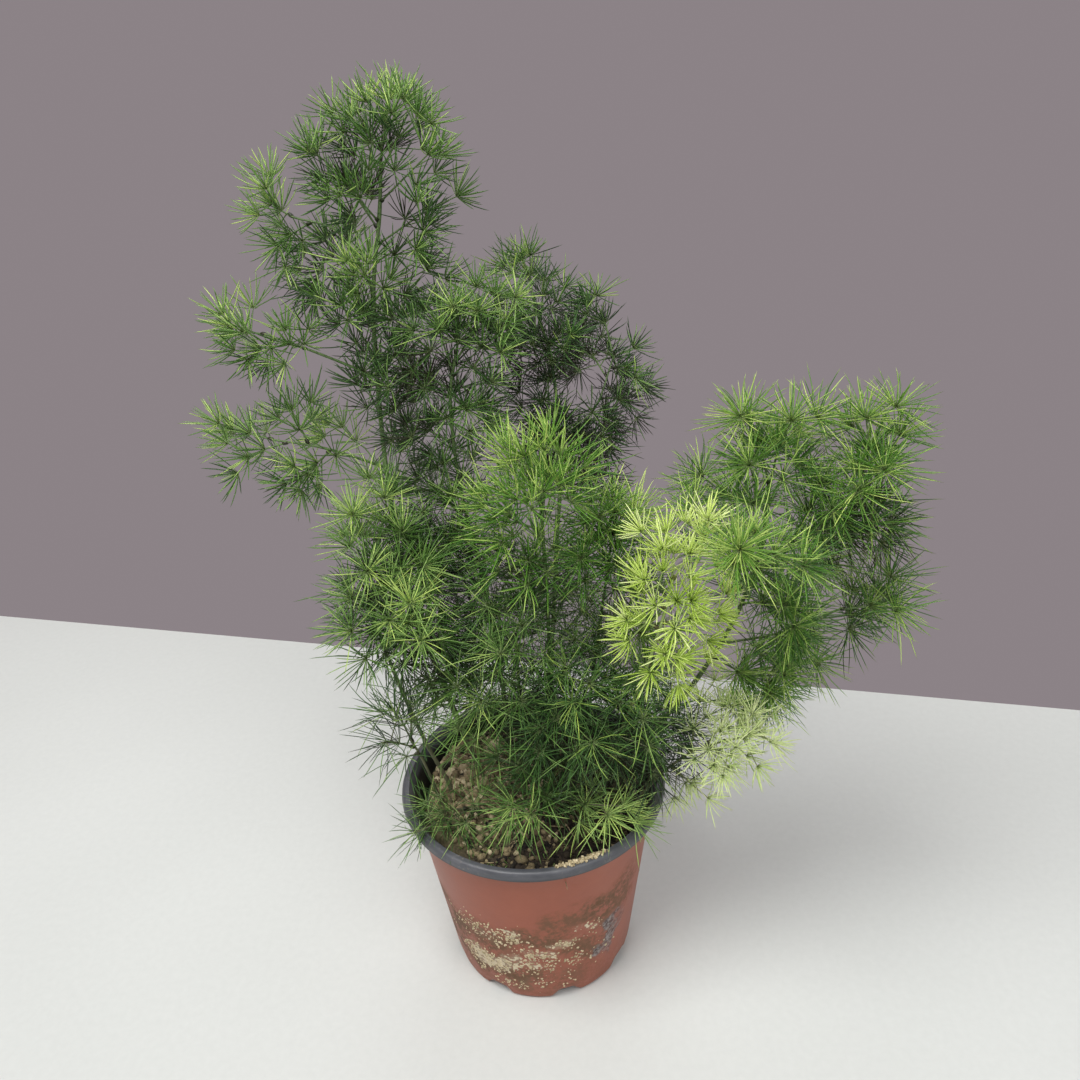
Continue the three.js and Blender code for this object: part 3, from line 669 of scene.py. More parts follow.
def stemLines(shoot):
    x, y = shoot["foot"]
    ground = soilHeight(x, y)
    main = [Vector((x, y, ground - growth["rootDepth"])), Vector((x, y, ground + 3))]
    lines = [main + [Vector(p) for p in shoot["stem"]]]
    for place, *points in shoot["arms"]:
        lines.append([along(lines[0], place)] + [Vector(p) for p in points])
    return lines


def sprayNodes(line, place, tip, tufts, draw):
    root = along(line, place)
    length = (tip - root).length
    control = (root + heading(line, place) * length * 0.3).lerp(tip, 0.3)

    def bend(share):
        return root.lerp(control, share).lerp(control.lerp(tip, share), share)

    side = (tip - root).normalized().cross(Vector((0, 0, 1))).normalized()
    nodes = [root]
    first = max(growth["leafyStart"], 1 - tufts * growth["tuftSpacing"] / length)
    if first * length > growth["longestBare"]:
        nodes.append(bend(first * 0.6))
    for k in reversed(range(tufts)):
        share = 1 - (1 - first) * k / tufts
        swing = (1 if k % 2 else -1) * growth["zigzagWidth"] * (0.5 + draw())
        nodes.append(bend(share) + side * (swing if k else 0))
    return nodes


# Needles: one is modelled, and every other is a copy that is turned, stretched and bent

needle = {
    "rings": [0.26, 0.60, 0.87],
    "swell": [0.62, 0.92, 1.0, 0.80],
    "lengthSpread": 0.09,
    "middleShare": 0.86,
    "heartGap": 0.2,
    "turn": 2.39996,  # the golden angle, from each needle of a star to its next
    "tries": 6,
    "toneSpread": 0.08,
    # Painted highlight: this share of the needles is made lighter in tone by this much, to stand for glints
    "paintedHighlight": 0.38,
    "paintedHighlightShare": 0.34,
    "scale": [3.4, 2.2, 0.02],  # length, width and tone of a dry scale
}

stars = {
    "room": 11,  # mm that a star on a twig keeps from its neighbours, if it can
    "inward": 0.05,
    "count": 0.85,
    "twigRadii": (0.30, 0.27, 0.24),
    "twigBow": 0.4,
    # Painted shade: each star over a star, within reach and above the slope, darkens its green by a step
    "shadeReach": 36,
    "shadeSlope": 0.45,
    "shadeStep": 0.025,
    "shadeMost": 0.48,
}

clearance = {
    # Where needles and twigs may not go: into the soil, and into the pot's rim and wall
    "soil": 0.8,
    "insideRim": 57.0,
    "outsideRim": 66,
    "overRim": 109,
}

habits = {
    # Stars of needles: how many needles, their width in mm, their length as a share of the shoot's own, how
    # wide a star opens in degrees, how far needles curl to its axis, rise or droop and stray, how far the
    # star looks up, how many more stars stand on twigs for each of the rule's tufts, how long those twigs
    # are, the tone of the green and how much painted shade other stars lay on it. Single sprays, by their
    # number, have their own tone in young, share of needles in big and share of stars on twigs in full
    "usual": {
        "count": 38, "width": 0.50, "length": 0.94, "open": 98, "curl": 0.14, "rise": -0.03, "stray": 0.17,
        "lift": 0.24, "more": 2.4, "twig": (6, 13), "tone": 0.48, "shaded": 1,
        "young": {}, "big": {}, "full": {},
    },
    "shoot_tall_left": {
        "count": 25, "width": 0.58, "length": 0.86, "open": 76, "curl": 0.16, "rise": 0.04, "stray": 0.10,
        "lift": 0.32, "more": 3.3,
        "full": {0: 0.8, 2: 0.8, 4: 0.7, 6: 1.2, 7: 2.2, 9: 2.2, 10: 1.8, 11: 0.5, 12: 0.5, 13: 1.8, 14: 2.2,
                 15: 1.3, 16: 0.4, 17: 0.7, 18: 1.3, 19: 0.7, 20: 0.4, 21: 0.6, 22: 1.3},
    },
    "shoot_middle": {"length": 0.86, "open": 94, "more": 3.4, "twig": (7, 16)},
    # The back shoot's deep green and low tone are painted shade
    "shoot_back": {
        "count": 30, "length": 0.78, "open": 88, "more": 4.6, "twig": (7, 16), "tone": 0.34,
        "full": {0: 0.4, 1: 0.5, 3: 0.5, 4: 1.5, 5: 1.5, 6: 0.4, 7: 0.6, 8: 2.2, 9: 1.4, 11: 2.2},
    },
    "shoot_left_bushy": {
        "count": 46, "length": 0.86, "more": 3.0, "twig": (8, 18), "tone": 0.54,
        "full": {0: 0.5, 2: 0.6, 3: 1.5, 6: 1.4, 7: 0.5, 8: 0.6, 9: 1.8},
    },
    "shoot_centre_bright": {
        "count": 20, "width": 0.58, "length": 0.78, "open": 76, "curl": 0.50, "lift": 0.45, "twig": (7, 14),
        "tone": 0.44, "shaded": 0.3,
    },
    "shoot_right_arch": {
        "count": 56, "width": 0.45, "length": 0.90, "open": 104, "curl": 0.10, "more": 1.7, "twig": (7, 14),
        "tone": 0.42, "young": {9: 0.49}, "big": {9: 1.5},
        "full": {4: 0.6, 5: 0.4, 6: 0.7, 9: 0, 10: 0.6, 13: 1.4, 15: 1.6, 16: 1.4, 18: 0.6, 19: 1.8, 20: 1.3},
    },
    "shoot_young": {
        "count": 30, "width": 0.58, "length": 0.68, "open": 84, "curl": 0.42, "stray": 0.15, "more": 1.9,
        "twig": (6, 14), "tone": 0.68, "shaded": 0.8,
    },
    "shoot_centre_right": {
        "count": 48, "width": 0.48, "length": 0.90, "open": 104, "more": 2.2, "twig": (8, 18), "tone": 0.50,
    },
    "shoot_low_right": {
        "count": 24, "width": 0.48, "length": 0.76, "open": 88, "curl": 0.30, "more": 4.2, "twig": (6, 14),
        "tone": 0.76, "shaded": 0.3, "full": {3: 0.8, 4: 0.3},
    },
    "shoot_centre_left": {
        "count": 40, "width": 0.40, "length": 1.0, "rise": -0.10, "stray": 0.26, "more": 5.0, "twig": (9, 22),
        "tone": 0.50, "young": {5: 0.88},
    },
    "shoot_centre_low": {
        "count": 42, "width": 0.40, "length": 1.0, "rise": -0.12, "stray": 0.28, "more": 4.8, "twig": (9, 22),
        "tone": 0.51,
    },
    "shoot_front_low": {
        "count": 44, "width": 0.44, "length": 0.84, "rise": -0.08, "stray": 0.22, "more": 1.4,
        "twig": (7, 13), "tone": 0.60, "young": {4: 0.88}, "full": {1: 0.3, 3: 0.4, 4: 1.6},
    },
    "shoot_left_dark": {
        "count": 16, "width": 0.46, "length": 0.98, "open": 72, "rise": -0.14, "stray": 0.15, "lift": -0.05,
        "more": 1.0, "tone": 0.44,
    },
    "shoot_left_low": {
        "count": 22, "width": 0.36, "length": 0.80, "rise": -0.06, "stray": 0.20, "more": 2.0,
        "twig": (5, 10), "tone": 0.40,
    },
}


def makeNeedle():
    # A three-sided spike one unit long, cut across into rings, nearly even in width down to its point
    clearSelection()
    bpy.ops.mesh.primitive_cone_add(vertices=3, radius1=1, radius2=0, depth=1, location=(0, 0, 0.5))
    spike = bpy.context.object
    settle(spike)
    for ring in needle["rings"]:
        editAll(spike)
        bpy.ops.mesh.bisect(plane_co=(0, 0, ring), plane_no=(0, 0, 1))
        leaveEdit()
    editAll(spike)
    bpy.ops.mesh.quads_convert_to_tris()
    leaveEdit()
    points, faces = takeMesh(spike)
    heights = [0.0] + needle["rings"]
    for height, swell in zip(heights, needle["swell"]):
        ring = abs(points[:, 2] - height) < 1e-4
        radius = np.hypot(points[ring, 0], points[ring, 1])
        points[ring, :2] *= (swell / radius)[:, None]
    return points, faces


def placeNeedles(model, placed):
    # placed holds root, direction, bend, length, width and tone of each needle, a row each
    points, faces = model
    rows = np.array(placed)
    root, way, bend = rows[:, 0:3], rows[:, 3:6], rows[:, 6:9]
    length, width, tone = rows[:, 9], rows[:, 10], rows[:, 11]
    helper = np.where(abs(way[:, 2:3]) > 0.9, [[1.0, 0, 0]], [[0, 0, 1.0]])
    side = np.cross(way, helper)
    side /= np.linalg.norm(side, axis=1, keepdims=True)
    other = np.cross(way, side)
    t = points[:, 2][None, :, None]
    spine = way[:, None] * t + bend[:, None] * t * t
    spine = root[:, None] + spine * length[:, None, None]
    flat = points[None, :, 0:1] * side[:, None] + points[None, :, 1:2] * other[:, None]
    corners = spine + flat * (width / 2)[:, None, None]
    count = len(points)
    shift = (np.arange(len(rows)) * count)[:, None, None]
    allFaces = (faces[None] + shift).reshape(-1, 3)
    alongValues = np.tile(points[:, 2], len(rows))
    return corners.reshape(-1, 3), allFaces, np.repeat(tone, count), alongValues


def needlePiece(name, model, placed, finish):
    points, faces, tones, places = placeNeedles(model, placed)
    piece = meshFrom(name, points * millimetre, faces)
    markVertices(piece, "tone", tones)
    markVertices(piece, "along", places)
    piece.data.materials.append(finish)
    return piece


def clearOfPot(x, y, z):
    # Whether a point in millimetres is off the soil and off the pot's rim and wall
    radius = math.hypot(x, y)
    if radius < clearance["insideRim"]:
        return z > soilHeight(x, y) + clearance["soil"]
    return radius > clearance["outsideRim"] or z > clearance["overRim"]


def starNeedles(rng, centre, axis, count, lengths, habit, tone, paintedHighlightShare):
    # Needles all round the axis, evenly spread from it out to the star's widest
    helper = Vector((0.31, 0.83, 0.46))
    side = axis.cross(helper).normalized()
    other = axis.cross(side)
    widest = math.radians(habit["open"] * rng.uniform(0.88, 1.1))
    placed = []
    for i in range(count):
        for attempt in range(needle["tries"]):
            share = (i + rng.uniform(0.2, 0.8)) / count
            cosine = 1 + (math.cos(widest) - 1) * share
            sine = math.sqrt(max(0.0, 1 - cosine * cosine))
            turn = i * needle["turn"] + rng.uniform(-0.22, 0.22) + attempt
            way = axis * cosine + (side * math.cos(turn) + other * math.sin(turn)) * sine
            length = rng.uniform(*lengths) * (1 + rng.gauss(0, needle["lengthSpread"])) * habit["length"]
            length = min(length, lengths[1])
            length *= needle["middleShare"] + (1 - needle["middleShare"]) * share
            bend = axis * habit["curl"] * sine * rng.uniform(0.6, 1.3)
            stray = habit["stray"]
            aside, back, rise = rng.gauss(0, stray), rng.gauss(0, stray), rng.gauss(0, stray / 2)
            bend += Vector((aside, back, habit["rise"] + rise))
            end = centre + (way + bend) * length
            middle = centre + (way * 0.5 + bend * 0.25) * length
            if clearOfPot(*end) and clearOfPot(*middle):
                width = habit["width"] * rng.uniform(0.85, 1.15)
                start = centre + way * needle["heartGap"]
                shade = tone + rng.gauss(0, needle["toneSpread"])
                # Painted highlight: some needles get a lighter tone
                shade += needle["paintedHighlight"] * (rng.random() < paintedHighlightShare)
                placed.append([*start, *way, *bend, length, width, shade])
                break
    return placed


def twigStar(nodes, tufts, habit, rng, taken, middle):
    # A twig off a spray's leafy part, the best of some tries: it ends where the stars leave room, and rather
    # inside the shoot than outside
    best = None
    centres = np.array(taken)
    for _ in range(needle["tries"]):
        k = rng.randrange(len(nodes) - tufts, len(nodes))
        start = nodes[k - 1].lerp(nodes[k], rng.uniform(0.3, 1.0))
        way = (nodes[k] - nodes[k - 1]).normalized()
        out = Vector([rng.gauss(0, 1) for _ in range(3)])
        out = (out - way * out.dot(way)).normalized()
        lean = math.radians(rng.uniform(35, 80))
        leave = way * math.cos(lean) + out * math.sin(lean)
        end = start + leave * rng.uniform(*habit["twig"])
        room = min(stars["room"], np.linalg.norm(centres - np.array(end), axis=1).min())
        worth = room - (end - middle).length * stars["inward"]
        if clearOfPot(*end) and (best is None or worth > best[0]):
            best = (worth, start, end, (leave + way * 0.4).normalized())
    return best


def stemThickness(shoot, line, share):
    thickness = growth["armThickness"] if line else growth["stemThickness"]
    return shoot["radius"] * thickness * (1 - growth["taper"] * share)


def makeTubes(name, paths, roundness, finish):
    # Round stalks along lists of (point in millimetres, radius in millimetres)
    data = bpy.data.curves.new(name, "CURVE")
    data.dimensions = "3D"
    data.bevel_depth = millimetre
    data.bevel_resolution = roundness
    data.use_fill_caps = True
    for path in paths:
        spline = data.splines.new("POLY")
        spline.points.add(len(path) - 1)
        for point, (place, radius) in zip(spline.points, path):
            point.co = (*(place * millimetre), 1)
            point.radius = radius
    piece = bpy.data.objects.new(name, data)
    bpy.context.scene.collection.objects.link(piece)
    chooseOnly(piece)
    bpy.ops.object.convert(target="MESH")
    tubes = bpy.context.object
    tubes.data.materials.clear()
    tubes.data.materials.append(finish)
    return tubes


def layOut(shoot):
    # The rule's own stems and sprays
    draw = draws(shoot["seed"])
    lines = stemLines(shoot)
    sprays = []
    for line, place, x, y, z, tufts in shoot["sprays"]:
        sprays.append((sprayNodes(lines[line], place, Vector((x, y, z)), tufts, draw), tufts))
    return lines, sprays


def stalkPaths(shoot, lines, rng):
    paths = []
    for number, points in enumerate(lines):
        last = len(points) - 1
        steps = last * 8
        path = []
        for i in range(steps + 1):
            place = last * i / steps
            knot = 1 + 0.10 * max(0, math.cos(place * 2 * math.pi)) + rng.uniform(-0.03, 0.03)
            path.append((along(points, place), stemThickness(shoot, number, i / steps) * knot))
        paths.append(path)
    return paths


def starAxis(way, habit, rng):
    return (way + Vector((rng.gauss(0, 0.12), rng.gauss(0, 0.12), habit["lift"]))).normalized()


def planStars(shoot, sprays, taken):
    # Twigs and stars of a shoot: one star on each of the rule's tufts, and more on twigs round them
    habit = dict(habits["usual"], **habits[shoot["name"]])
    rng = random.Random(shoot["seed"])
    length = sum(shoot["needle"]) / 2 * habit["length"]
    forward = length * (0.17 * (1 + math.cos(math.radians(habit["open"]))) + habit["curl"] * 0.2)
    twigs = []
    found = []
    tips = [nodes[-1] for nodes, _ in sprays]
    middle = sum(tips, Vector((0, 0, 0))) / len(tips)
    for number, (nodes, tufts) in enumerate(sprays):
        tone = habit["young"].get(number, habit["tone"] + rng.gauss(0, 0.06))
        count = habit["count"] * habit["big"].get(number, 1)
        path = list(nodes)
        for k in range(len(nodes) - tufts, len(nodes)):
            # The star's heart stands behind its tuft, so that the whole of it lies round the tuft
            axis = starAxis((nodes[k] - nodes[k - 1]).normalized(), habit, rng)
            path[k] = nodes[k] - axis * forward
            found.append((path[k], axis, count, tone))
        twigs.append(list(zip(path, np.linspace(*growth["sprayRadii"], len(path)))))
        wanted = tufts * habit["more"] * habit["full"].get(number, 1)
        for _ in range(int(wanted) + (rng.random() < wanted % 1)):
            twig = twigStar(path, tufts, habit, rng, taken, middle)
            if twig:
                _, start, end, way = twig
                bow = start.lerp(end, 0.5) + Vector((0, 0, stars["twigBow"]))
                twigs.append(list(zip((start, bow, end), stars["twigRadii"])))
                found.append((end, starAxis(way, habit, rng), habit["count"] * stars["count"], tone))
                taken.append(end)
    return habit, rng, twigs, found


def underStars(centre, taken):
    # How many stars stand over a place and keep the light off it
    away = taken - np.array(centre)
    far = np.linalg.norm(away, axis=1)
    over = (far < stars["shadeReach"]) & (away[:, 2] > far * stars["shadeSlope"]) & (far > 1)
    return int(over.sum())


def growShoot(shoot, layout, plan, taken, model, stalkFinish, needleFinish):
    habit, rng, thin, found = plan
    lines, sprays = layout
    placed = []
    for centre, axis, count, tone in found:
        # Painted shade: the green darkens with the stars that stand over this one, and fewer needles get the
        # painted highlight
        dimmed = min(stars["shadeMost"], underStars(centre, taken) * stars["shadeStep"]) * habit["shaded"]
        shade = tone + rng.gauss(0.04, 0.04) - dimmed
        amount = round(count * rng.uniform(0.88, 1.12))
        paintedHighlightShare = needle["paintedHighlightShare"] * (1 - dimmed / stars["shadeMost"])
        placed += starNeedles(rng, centre, axis, amount, shoot["needle"], habit, shade, paintedHighlightShare)
    for nodes, _ in sprays:
        # A dry scale where the spray leaves its stem
        leave = (nodes[1] - nodes[0]).normalized()
        placed.append([*nodes[0], *leave, 0, 0, 0, *needle["scale"]])
    stalks = makeTubes("stalks", stalkPaths(shoot, lines, rng), 3, stalkFinish)
    twigs = makeTubes("twigs", thin, 1, stalkFinish)
    leaves = needlePiece(shoot["name"].replace("shoot", "leafy"), model, placed, needleFinish)
    joinTo(leaves, (stalks, twigs))
    handOver(leaves, shoot["name"])
    return len(placed)


# Greens of the needles, from the shade of a dry scale to that of new growth, and the colour of their tips
greens = {
    "foliage_mid": {"shades": [(0.030, 0.030, 0.012), (0.026, 0.082, 0.014), (0.115, 0.250, 0.042),
                               (0.32, 0.50, 0.14), (0.60, 0.78, 0.20)], "tip": (0.10, 0.17, 0.06)},
    # The deep green is a darker copy of the mid green: painted shade for the shoots at the back and low down
    "foliage_deep": {"shades": [(0.026, 0.026, 0.010), (0.016, 0.056, 0.012), (0.075, 0.185, 0.034),
                                (0.24, 0.41, 0.10), (0.50, 0.68, 0.12)], "tip": (0.10, 0.14, 0.06)},
    "foliage_bright": {"shades": [(0.030, 0.035, 0.012), (0.036, 0.125, 0.016), (0.130, 0.305, 0.034),
                                  (0.38, 0.58, 0.12), (0.62, 0.78, 0.20)], "tip": (0.50, 0.56, 0.20)},
    "foliage_young": {"shades": [(0.10, 0.09, 0.03), (0.24, 0.36, 0.04), (0.46, 0.66, 0.09),
                                 (0.72, 0.88, 0.24), (0.84, 0.95, 0.42)], "tip": (0.74, 0.86, 0.34)},
    "foliage_pale": {"shades": [(0.10, 0.10, 0.04), (0.26, 0.40, 0.10), (0.50, 0.68, 0.20),
                                (0.74, 0.88, 0.38), (0.84, 0.92, 0.50)], "tip": (0.56, 0.56, 0.34)},
}


def makeNeedleFinish(slot):
    shades = greens[slot]["shades"]
    leaf = Finish(slot.replace("foliage", "needles"))
    tone = leaf.own("tone")
    place = leaf.own("along")
    cloud = leaf.noise(leaf.places(), 0.03, 3.0)
    stops = list(zip((0.0, 0.18, 0.42, 0.70, 1.0), shades))
    colour = leaf.ramp(tone + (cloud - 0.5) * 0.25, stops)
    # The pale base is partly the needles' own colour and partly painted light that lifts the shade where the
    # bases crowd
    heart = 1 - place.over(0.0, 0.24)
    colour = leaf.mix(heart * 0.85, colour, (0.58, 0.72, 0.34))
    colour = leaf.mix(place.over(0.78, 1.0) * 0.45, colour, greens[slot]["tip"])
    return leaf.surface(Base_Color=colour, Roughness=0.38 + cloud * 0.12)


def makeStalkFinish(name, greenDark, greenLight):
    bark = Finish(name)
    places = bark.places()
    drawn = bark.node("ShaderNodeMapping", {}, {"Vector": places, "Scale": (1, 1, 0.2)})
    streak = bark.noise(drawn, 0.0016, 5.0)
    shade = streak * 0.6 + bark.noise(places, 0.012, 3.0) * 0.4
    woody = 1 - bark.axes(places)[2].over(0.10, 0.22)
    green = bark.ramp(shade, [(0.3, greenDark), (0.7, greenLight)])
    brown = bark.ramp(shade, [(0.3, (0.060, 0.048, 0.030)), (0.7, (0.19, 0.155, 0.105))])
    colour = bark.mix(woody * 0.8, green, brown)
    return bark.surface(Base_Color=colour, Roughness=0.55, Normal=bark.bump(streak, 0.0004, 0.7))


def growPlant():
    model = makeNeedle()
    stalkFinish = makeStalkFinish("stalkGreen", (0.055, 0.110, 0.030), (0.17, 0.26, 0.085))
    paleFinish = makeStalkFinish("stalkPale", (0.24, 0.34, 0.09), (0.48, 0.60, 0.22))
    pale = ("foliage_young", "foliage_pale")
    finishes = {slot: makeNeedleFinish(slot) for slot in greens}
    layouts = [layOut(shoot) for shoot in shoots]
    taken = [node for _, sprays in layouts for nodes, tufts in sprays for node in nodes[-tufts:]]
    plans = [planStars(shoot, sprays, taken) for shoot, (_, sprays) in zip(shoots, layouts)]
    standing = np.array(taken)
    total = 0
    for shoot, layout, plan in zip(shoots, layouts, plans):
        stalk = paleFinish if shoot["slot"] in pale else stalkFinish
        total += growShoot(shoot, layout, plan, standing, model, stalk, finishes[shoot["slot"]])
    print("needles placed:", total)
    return model, finishes, stalkFinish


plantParts = growPlant()


# Soil: a turned bed with a lumpy top, strewn with grit, fibres and a little moss

soil = {
    "sides": 160,
    "rings": 46,
    "gap": 0.00035,
    "edgeHeight": 0.092,
    "trench": 0.005,
    "trenchTurn": 173.0,
    "sink": 0.0006,  # how far the top between its lumps lies under the solid's
    "foot": [(0.0445, 0.011), (0.030, 0.0021)],
    "mound": (-0.030, 0.002, 0.026, 0.034),
    "moundLumps": 1500,
    "peatLumps": 1500,
    "fibres": 170,
    "fibreLength": (3, 9),
    "fibreWidth": (0.35, 0.8),
    "mossHairs": 1300,
    "mossLength": (1.2, 3.4),
    "mossWidth": (0.3, 0.5),
    "peat": [(0.25, (0.010, 0.007, 0.005)), (0.5, (0.035, 0.024, 0.016)), (0.8, (0.11, 0.075, 0.045))],
    "crust": [(0.25, (0.045, 0.036, 0.018)), (0.5, (0.16, 0.13, 0.065)), (0.8, (0.42, 0.35, 0.20))],
    "moss": (0.085, 0.115, 0.030),
    "crumbCell": 0.0034,
    "crumbHeight": 0.0022,
    "raggedSize": 0.006,
    "raggedHeight": 0.0014,
}

grit = {
    "size": (0.0005, 0.0014),
    "moundSize": 1.3,
    "bigOnes": (0.08, 0.7),  # share of the lumps, and how much larger they are
    "moundTone": (0.70, 0.17),
    "peatTone": (0.22, 0.16),
    "paleOnes": (0.13, 0.5),
    # From black peat by brown and tan to beige
    "shades": [(0.0, (0.008, 0.006, 0.005)), (0.3, (0.040, 0.029, 0.017)), (0.55, (0.145, 0.110, 0.058)),
               (0.8, (0.37, 0.295, 0.165)), (1.0, (0.68, 0.58, 0.38))],
    "rimGrains": 260,
    "rimTurns": (-80.0, -54.0),
    "rimRadii": (0.0600, 0.0634, 0.0615),
    "rimSize": (0.00025, 0.00075),
    "wallGrains": 800,
    "wallSize": (0.00022, 0.00060),
    "wallLowest": 0.009,
    "wallCrowd": 0.009,
}


def trenchAt(angle):
    return max(0.0, math.cos(angle - math.radians(soil["trenchTurn"]))) ** 0.5


def moundShare(x, y):
    cx, cy, wide, deep = soil["mound"]
    return math.exp(-(((x - cx) / wide) ** 2) - ((y - cy) / deep) ** 2)


def bedHeight(x, y):
    # Height of the lumpy top in metres: round crumbs on the mound, ragged peat elsewhere
    base = soilHeight(x / millimetre, y / millimetre) * millimetre
    mound = min(1.0, moundShare(x, y) * 1.6)
    cell = noise.voronoi(Vector((x, y, 0.3)) / soil["crumbCell"])[0][0]
    crumb = (0.45 - cell) * soil["crumbHeight"]
    ragged = noise.fractal(Vector((x, y, 0.7)) / soil["raggedSize"], 0.8, 2.1, 4) * soil["raggedHeight"]
    return base + crumb * mound + ragged * (1 - mound * 0.6) - soil["sink"] * (1 - mound)


def insideWall(height):
    return wallRadius(height) - pot["wallThickness"] - soil["gap"]


def bedRadius(angle):
    return insideWall(soil["edgeHeight"]) - 0.0006 - soil["trench"] * trenchAt(angle)


def makeSoilBed():
    # Flat rings from the middle outwards at first, then down the side and in under it. The flat ones are
    # then lifted to the lumpy top and the edge below them set against the pot's wall
    outer = bedRadius(0)
    flat, edge = 0.1, 0.09
    rings = [(outer * (i + 1) / soil["rings"], flat) for i in range(1, soil["rings"])]
    rows = rings + [(outer, edge)] + soil["foot"]
    bed = turnedUp("soilBed", soil["sides"], outer / soil["rings"], flat, rows)
    for vertex in bed.data.vertices:
        x, y, z = vertex.co
        angle = math.atan2(y, x)
        if z > (flat + edge) / 2:
            share = bedRadius(angle) / outer
            x, y = x * share, y * share
            vertex.co = (x, y, bedHeight(x, y))
        elif z > edge / 2:
            drop = soil["edgeHeight"] + 0.001 - soil["trench"] * trenchAt(angle)
            radius = insideWall(drop)
            vertex.co = (radius * math.cos(angle), radius * math.sin(angle), drop)
        elif math.hypot(x, y) > soil["foot"][1][0] + 0.005:
            vertex.co.z += pot["notchHeight"] * 0.2 * notchRise(x, y)
    bed.data.materials.append(makeSoilFinish())
    chooseOnly(bed)
    bpy.ops.object.shade_smooth()
    handOver(bed, "soil")


def makeSoilFinish():
    earth = Finish("peatAndCrust")
    places = earth.places()
    fine = earth.noise(places, 0.0012, 6.0, 0.7)
    coarse = earth.noise(places, 0.007, 5.0, 0.6)
    cells = earth.grains(places, 0.0024)
    cx, cy, wide, deep = soil["mound"]
    x, y, _ = earth.axes(places)
    across = (x - cx) / wide
    back = (y - cy) / deep
    mound = 1 - (across * across + back * back + (coarse - 0.5) * 2.0).over(0.5, 2.4)
    peat = earth.ramp(fine * 0.55 + coarse * 0.45, soil["peat"])
    crust = earth.ramp(fine * 0.4 + coarse * 0.3 + cells * 0.3, soil["crust"])
    colour = earth.mix(mound, peat, crust)
    green = mound * (1 - x.over(-0.040, -0.020) * 0.4) * coarse.over(0.42, 0.66) * 0.6
    colour = earth.mix(green, colour, soil["moss"])
    relief = earth.bump(fine * 0.6 - cells * 0.4, 0.0008, 0.9)
    return earth.surface(Base_Color=colour, Roughness=0.88 + (fine - 0.5) * 0.2, Normal=relief)


def makeGritFinish():
    stone = Finish("gritAndLime")
    places = stone.places()
    fine = stone.noise(places, 0.0009, 4.0, 0.6)
    colour = stone.ramp(stone.own("tone") + (fine - 0.5) * 0.35, grit["shades"])
    return stone.surface(Base_Color=colour, Roughness=0.9, Normal=stone.bump(fine, 0.0004, 0.8))


def makeLumpModels():
    # Four rough lumps to be copied
    models = []
    for seed in range(4):
        clearSelection()
        bpy.ops.mesh.primitive_ico_sphere_add(subdivisions=1, radius=1)
        lump = bpy.context.object
        editAll(lump)
        bpy.ops.transform.vertex_random(offset=0.22, seed=seed)
        leaveEdit()
        models.append(takeMesh(lump))
    return models


def strew(name, finish, models, spots):
    # Each spot is a place, three half sizes, a direction that the third of them lies along, and a tone
    rng = random.Random(len(spots))
    points, faces, tones = [], [], []
    count = 0
    for place, sizes, upright, tone in spots:
        model, sides = models[rng.randrange(len(models))]
        turned = Vector(upright).to_track_quat("Z", "Y").to_matrix()
        turned = turned @ Matrix.Rotation(rng.uniform(0, 6.28), 3, "Z")
        points.append((model * np.array(sizes)) @ np.array(turned).T + np.array(place))
        faces.append(sides + count)
        tones.append(np.full(len(model), tone))
        count += len(model)
    piece = meshFrom(name, np.concatenate(points), np.concatenate(faces))
    markVertices(piece, "tone", np.concatenate(tones))
    piece.data.materials.append(finish)
    chooseOnly(piece)
    bpy.ops.object.shade_smooth()
    handOver(piece)


def randomWay(rng):
    return rng.gauss(0, 1), rng.gauss(0, 1), rng.gauss(0, 1)


def bedSpot(rng, mound):
    # A random point of the soil's top, on the mound or off it
    while True:
        angle = rng.uniform(-math.pi, math.pi)
        radius = bedRadius(angle) * math.sqrt(rng.random()) * 0.985
        x, y = radius * math.cos(angle), radius * math.sin(angle)
        if rng.random() < (moundShare(x, y) if mound else 1 - moundShare(x, y)):
            return x, y


def strewSoil(models, finish):
    rng = random.Random(31)
    spots = []
    for mound, count in ((True, soil["moundLumps"]), (False, soil["peatLumps"])):
        for _ in range(count):
            x, y = bedSpot(rng, mound)
            size = rng.uniform(*grit["size"]) * (grit["moundSize"] if mound else 1.0)
            size *= 1 + (rng.random() < grit["bigOnes"][0]) * grit["bigOnes"][1]
            sizes = [size * rng.uniform(0.7, 1.3) for _ in range(3)]
            if mound:
                tone = rng.gauss(*grit["moundTone"])
            else:
                tone = rng.gauss(*grit["peatTone"])
                tone += (rng.random() < grit["paleOnes"][0]) * grit["paleOnes"][1]
            spots.append(((x, y, bedHeight(x, y) + size * 0.35), sizes, randomWay(rng), tone))
    strew("soilGrit", finish, models, spots)


def strewRim(models, finish):
    # Spilt crumbs on the rim's front right, most of them near its inner edge
    rng = random.Random(57)
    spots = []
    low, high = grit["rimTurns"]
    for _ in range(grit["rimGrains"]):
        angle = math.radians(low + (high - low) * min(1, max(0, rng.betavariate(2.2, 2.0))))
        radius = rng.triangular(*grit["rimRadii"])
        size = rng.uniform(*grit["rimSize"])
        height = pot["height"] - (0.0004 if radius < 0.0612 else 0.0001) + size * rng.uniform(0.3, 1.2)
        place = (radius * math.cos(angle), radius * math.sin(angle), height)
        sizes = [size * rng.uniform(0.7, 1.3) for _ in range(3)]
        spots.append((place, sizes, (rng.gauss(0, 1), rng.gauss(0, 1), 1.0), rng.gauss(0.86, 0.10)))
    strew("rimCrumbs", finish, models, spots)


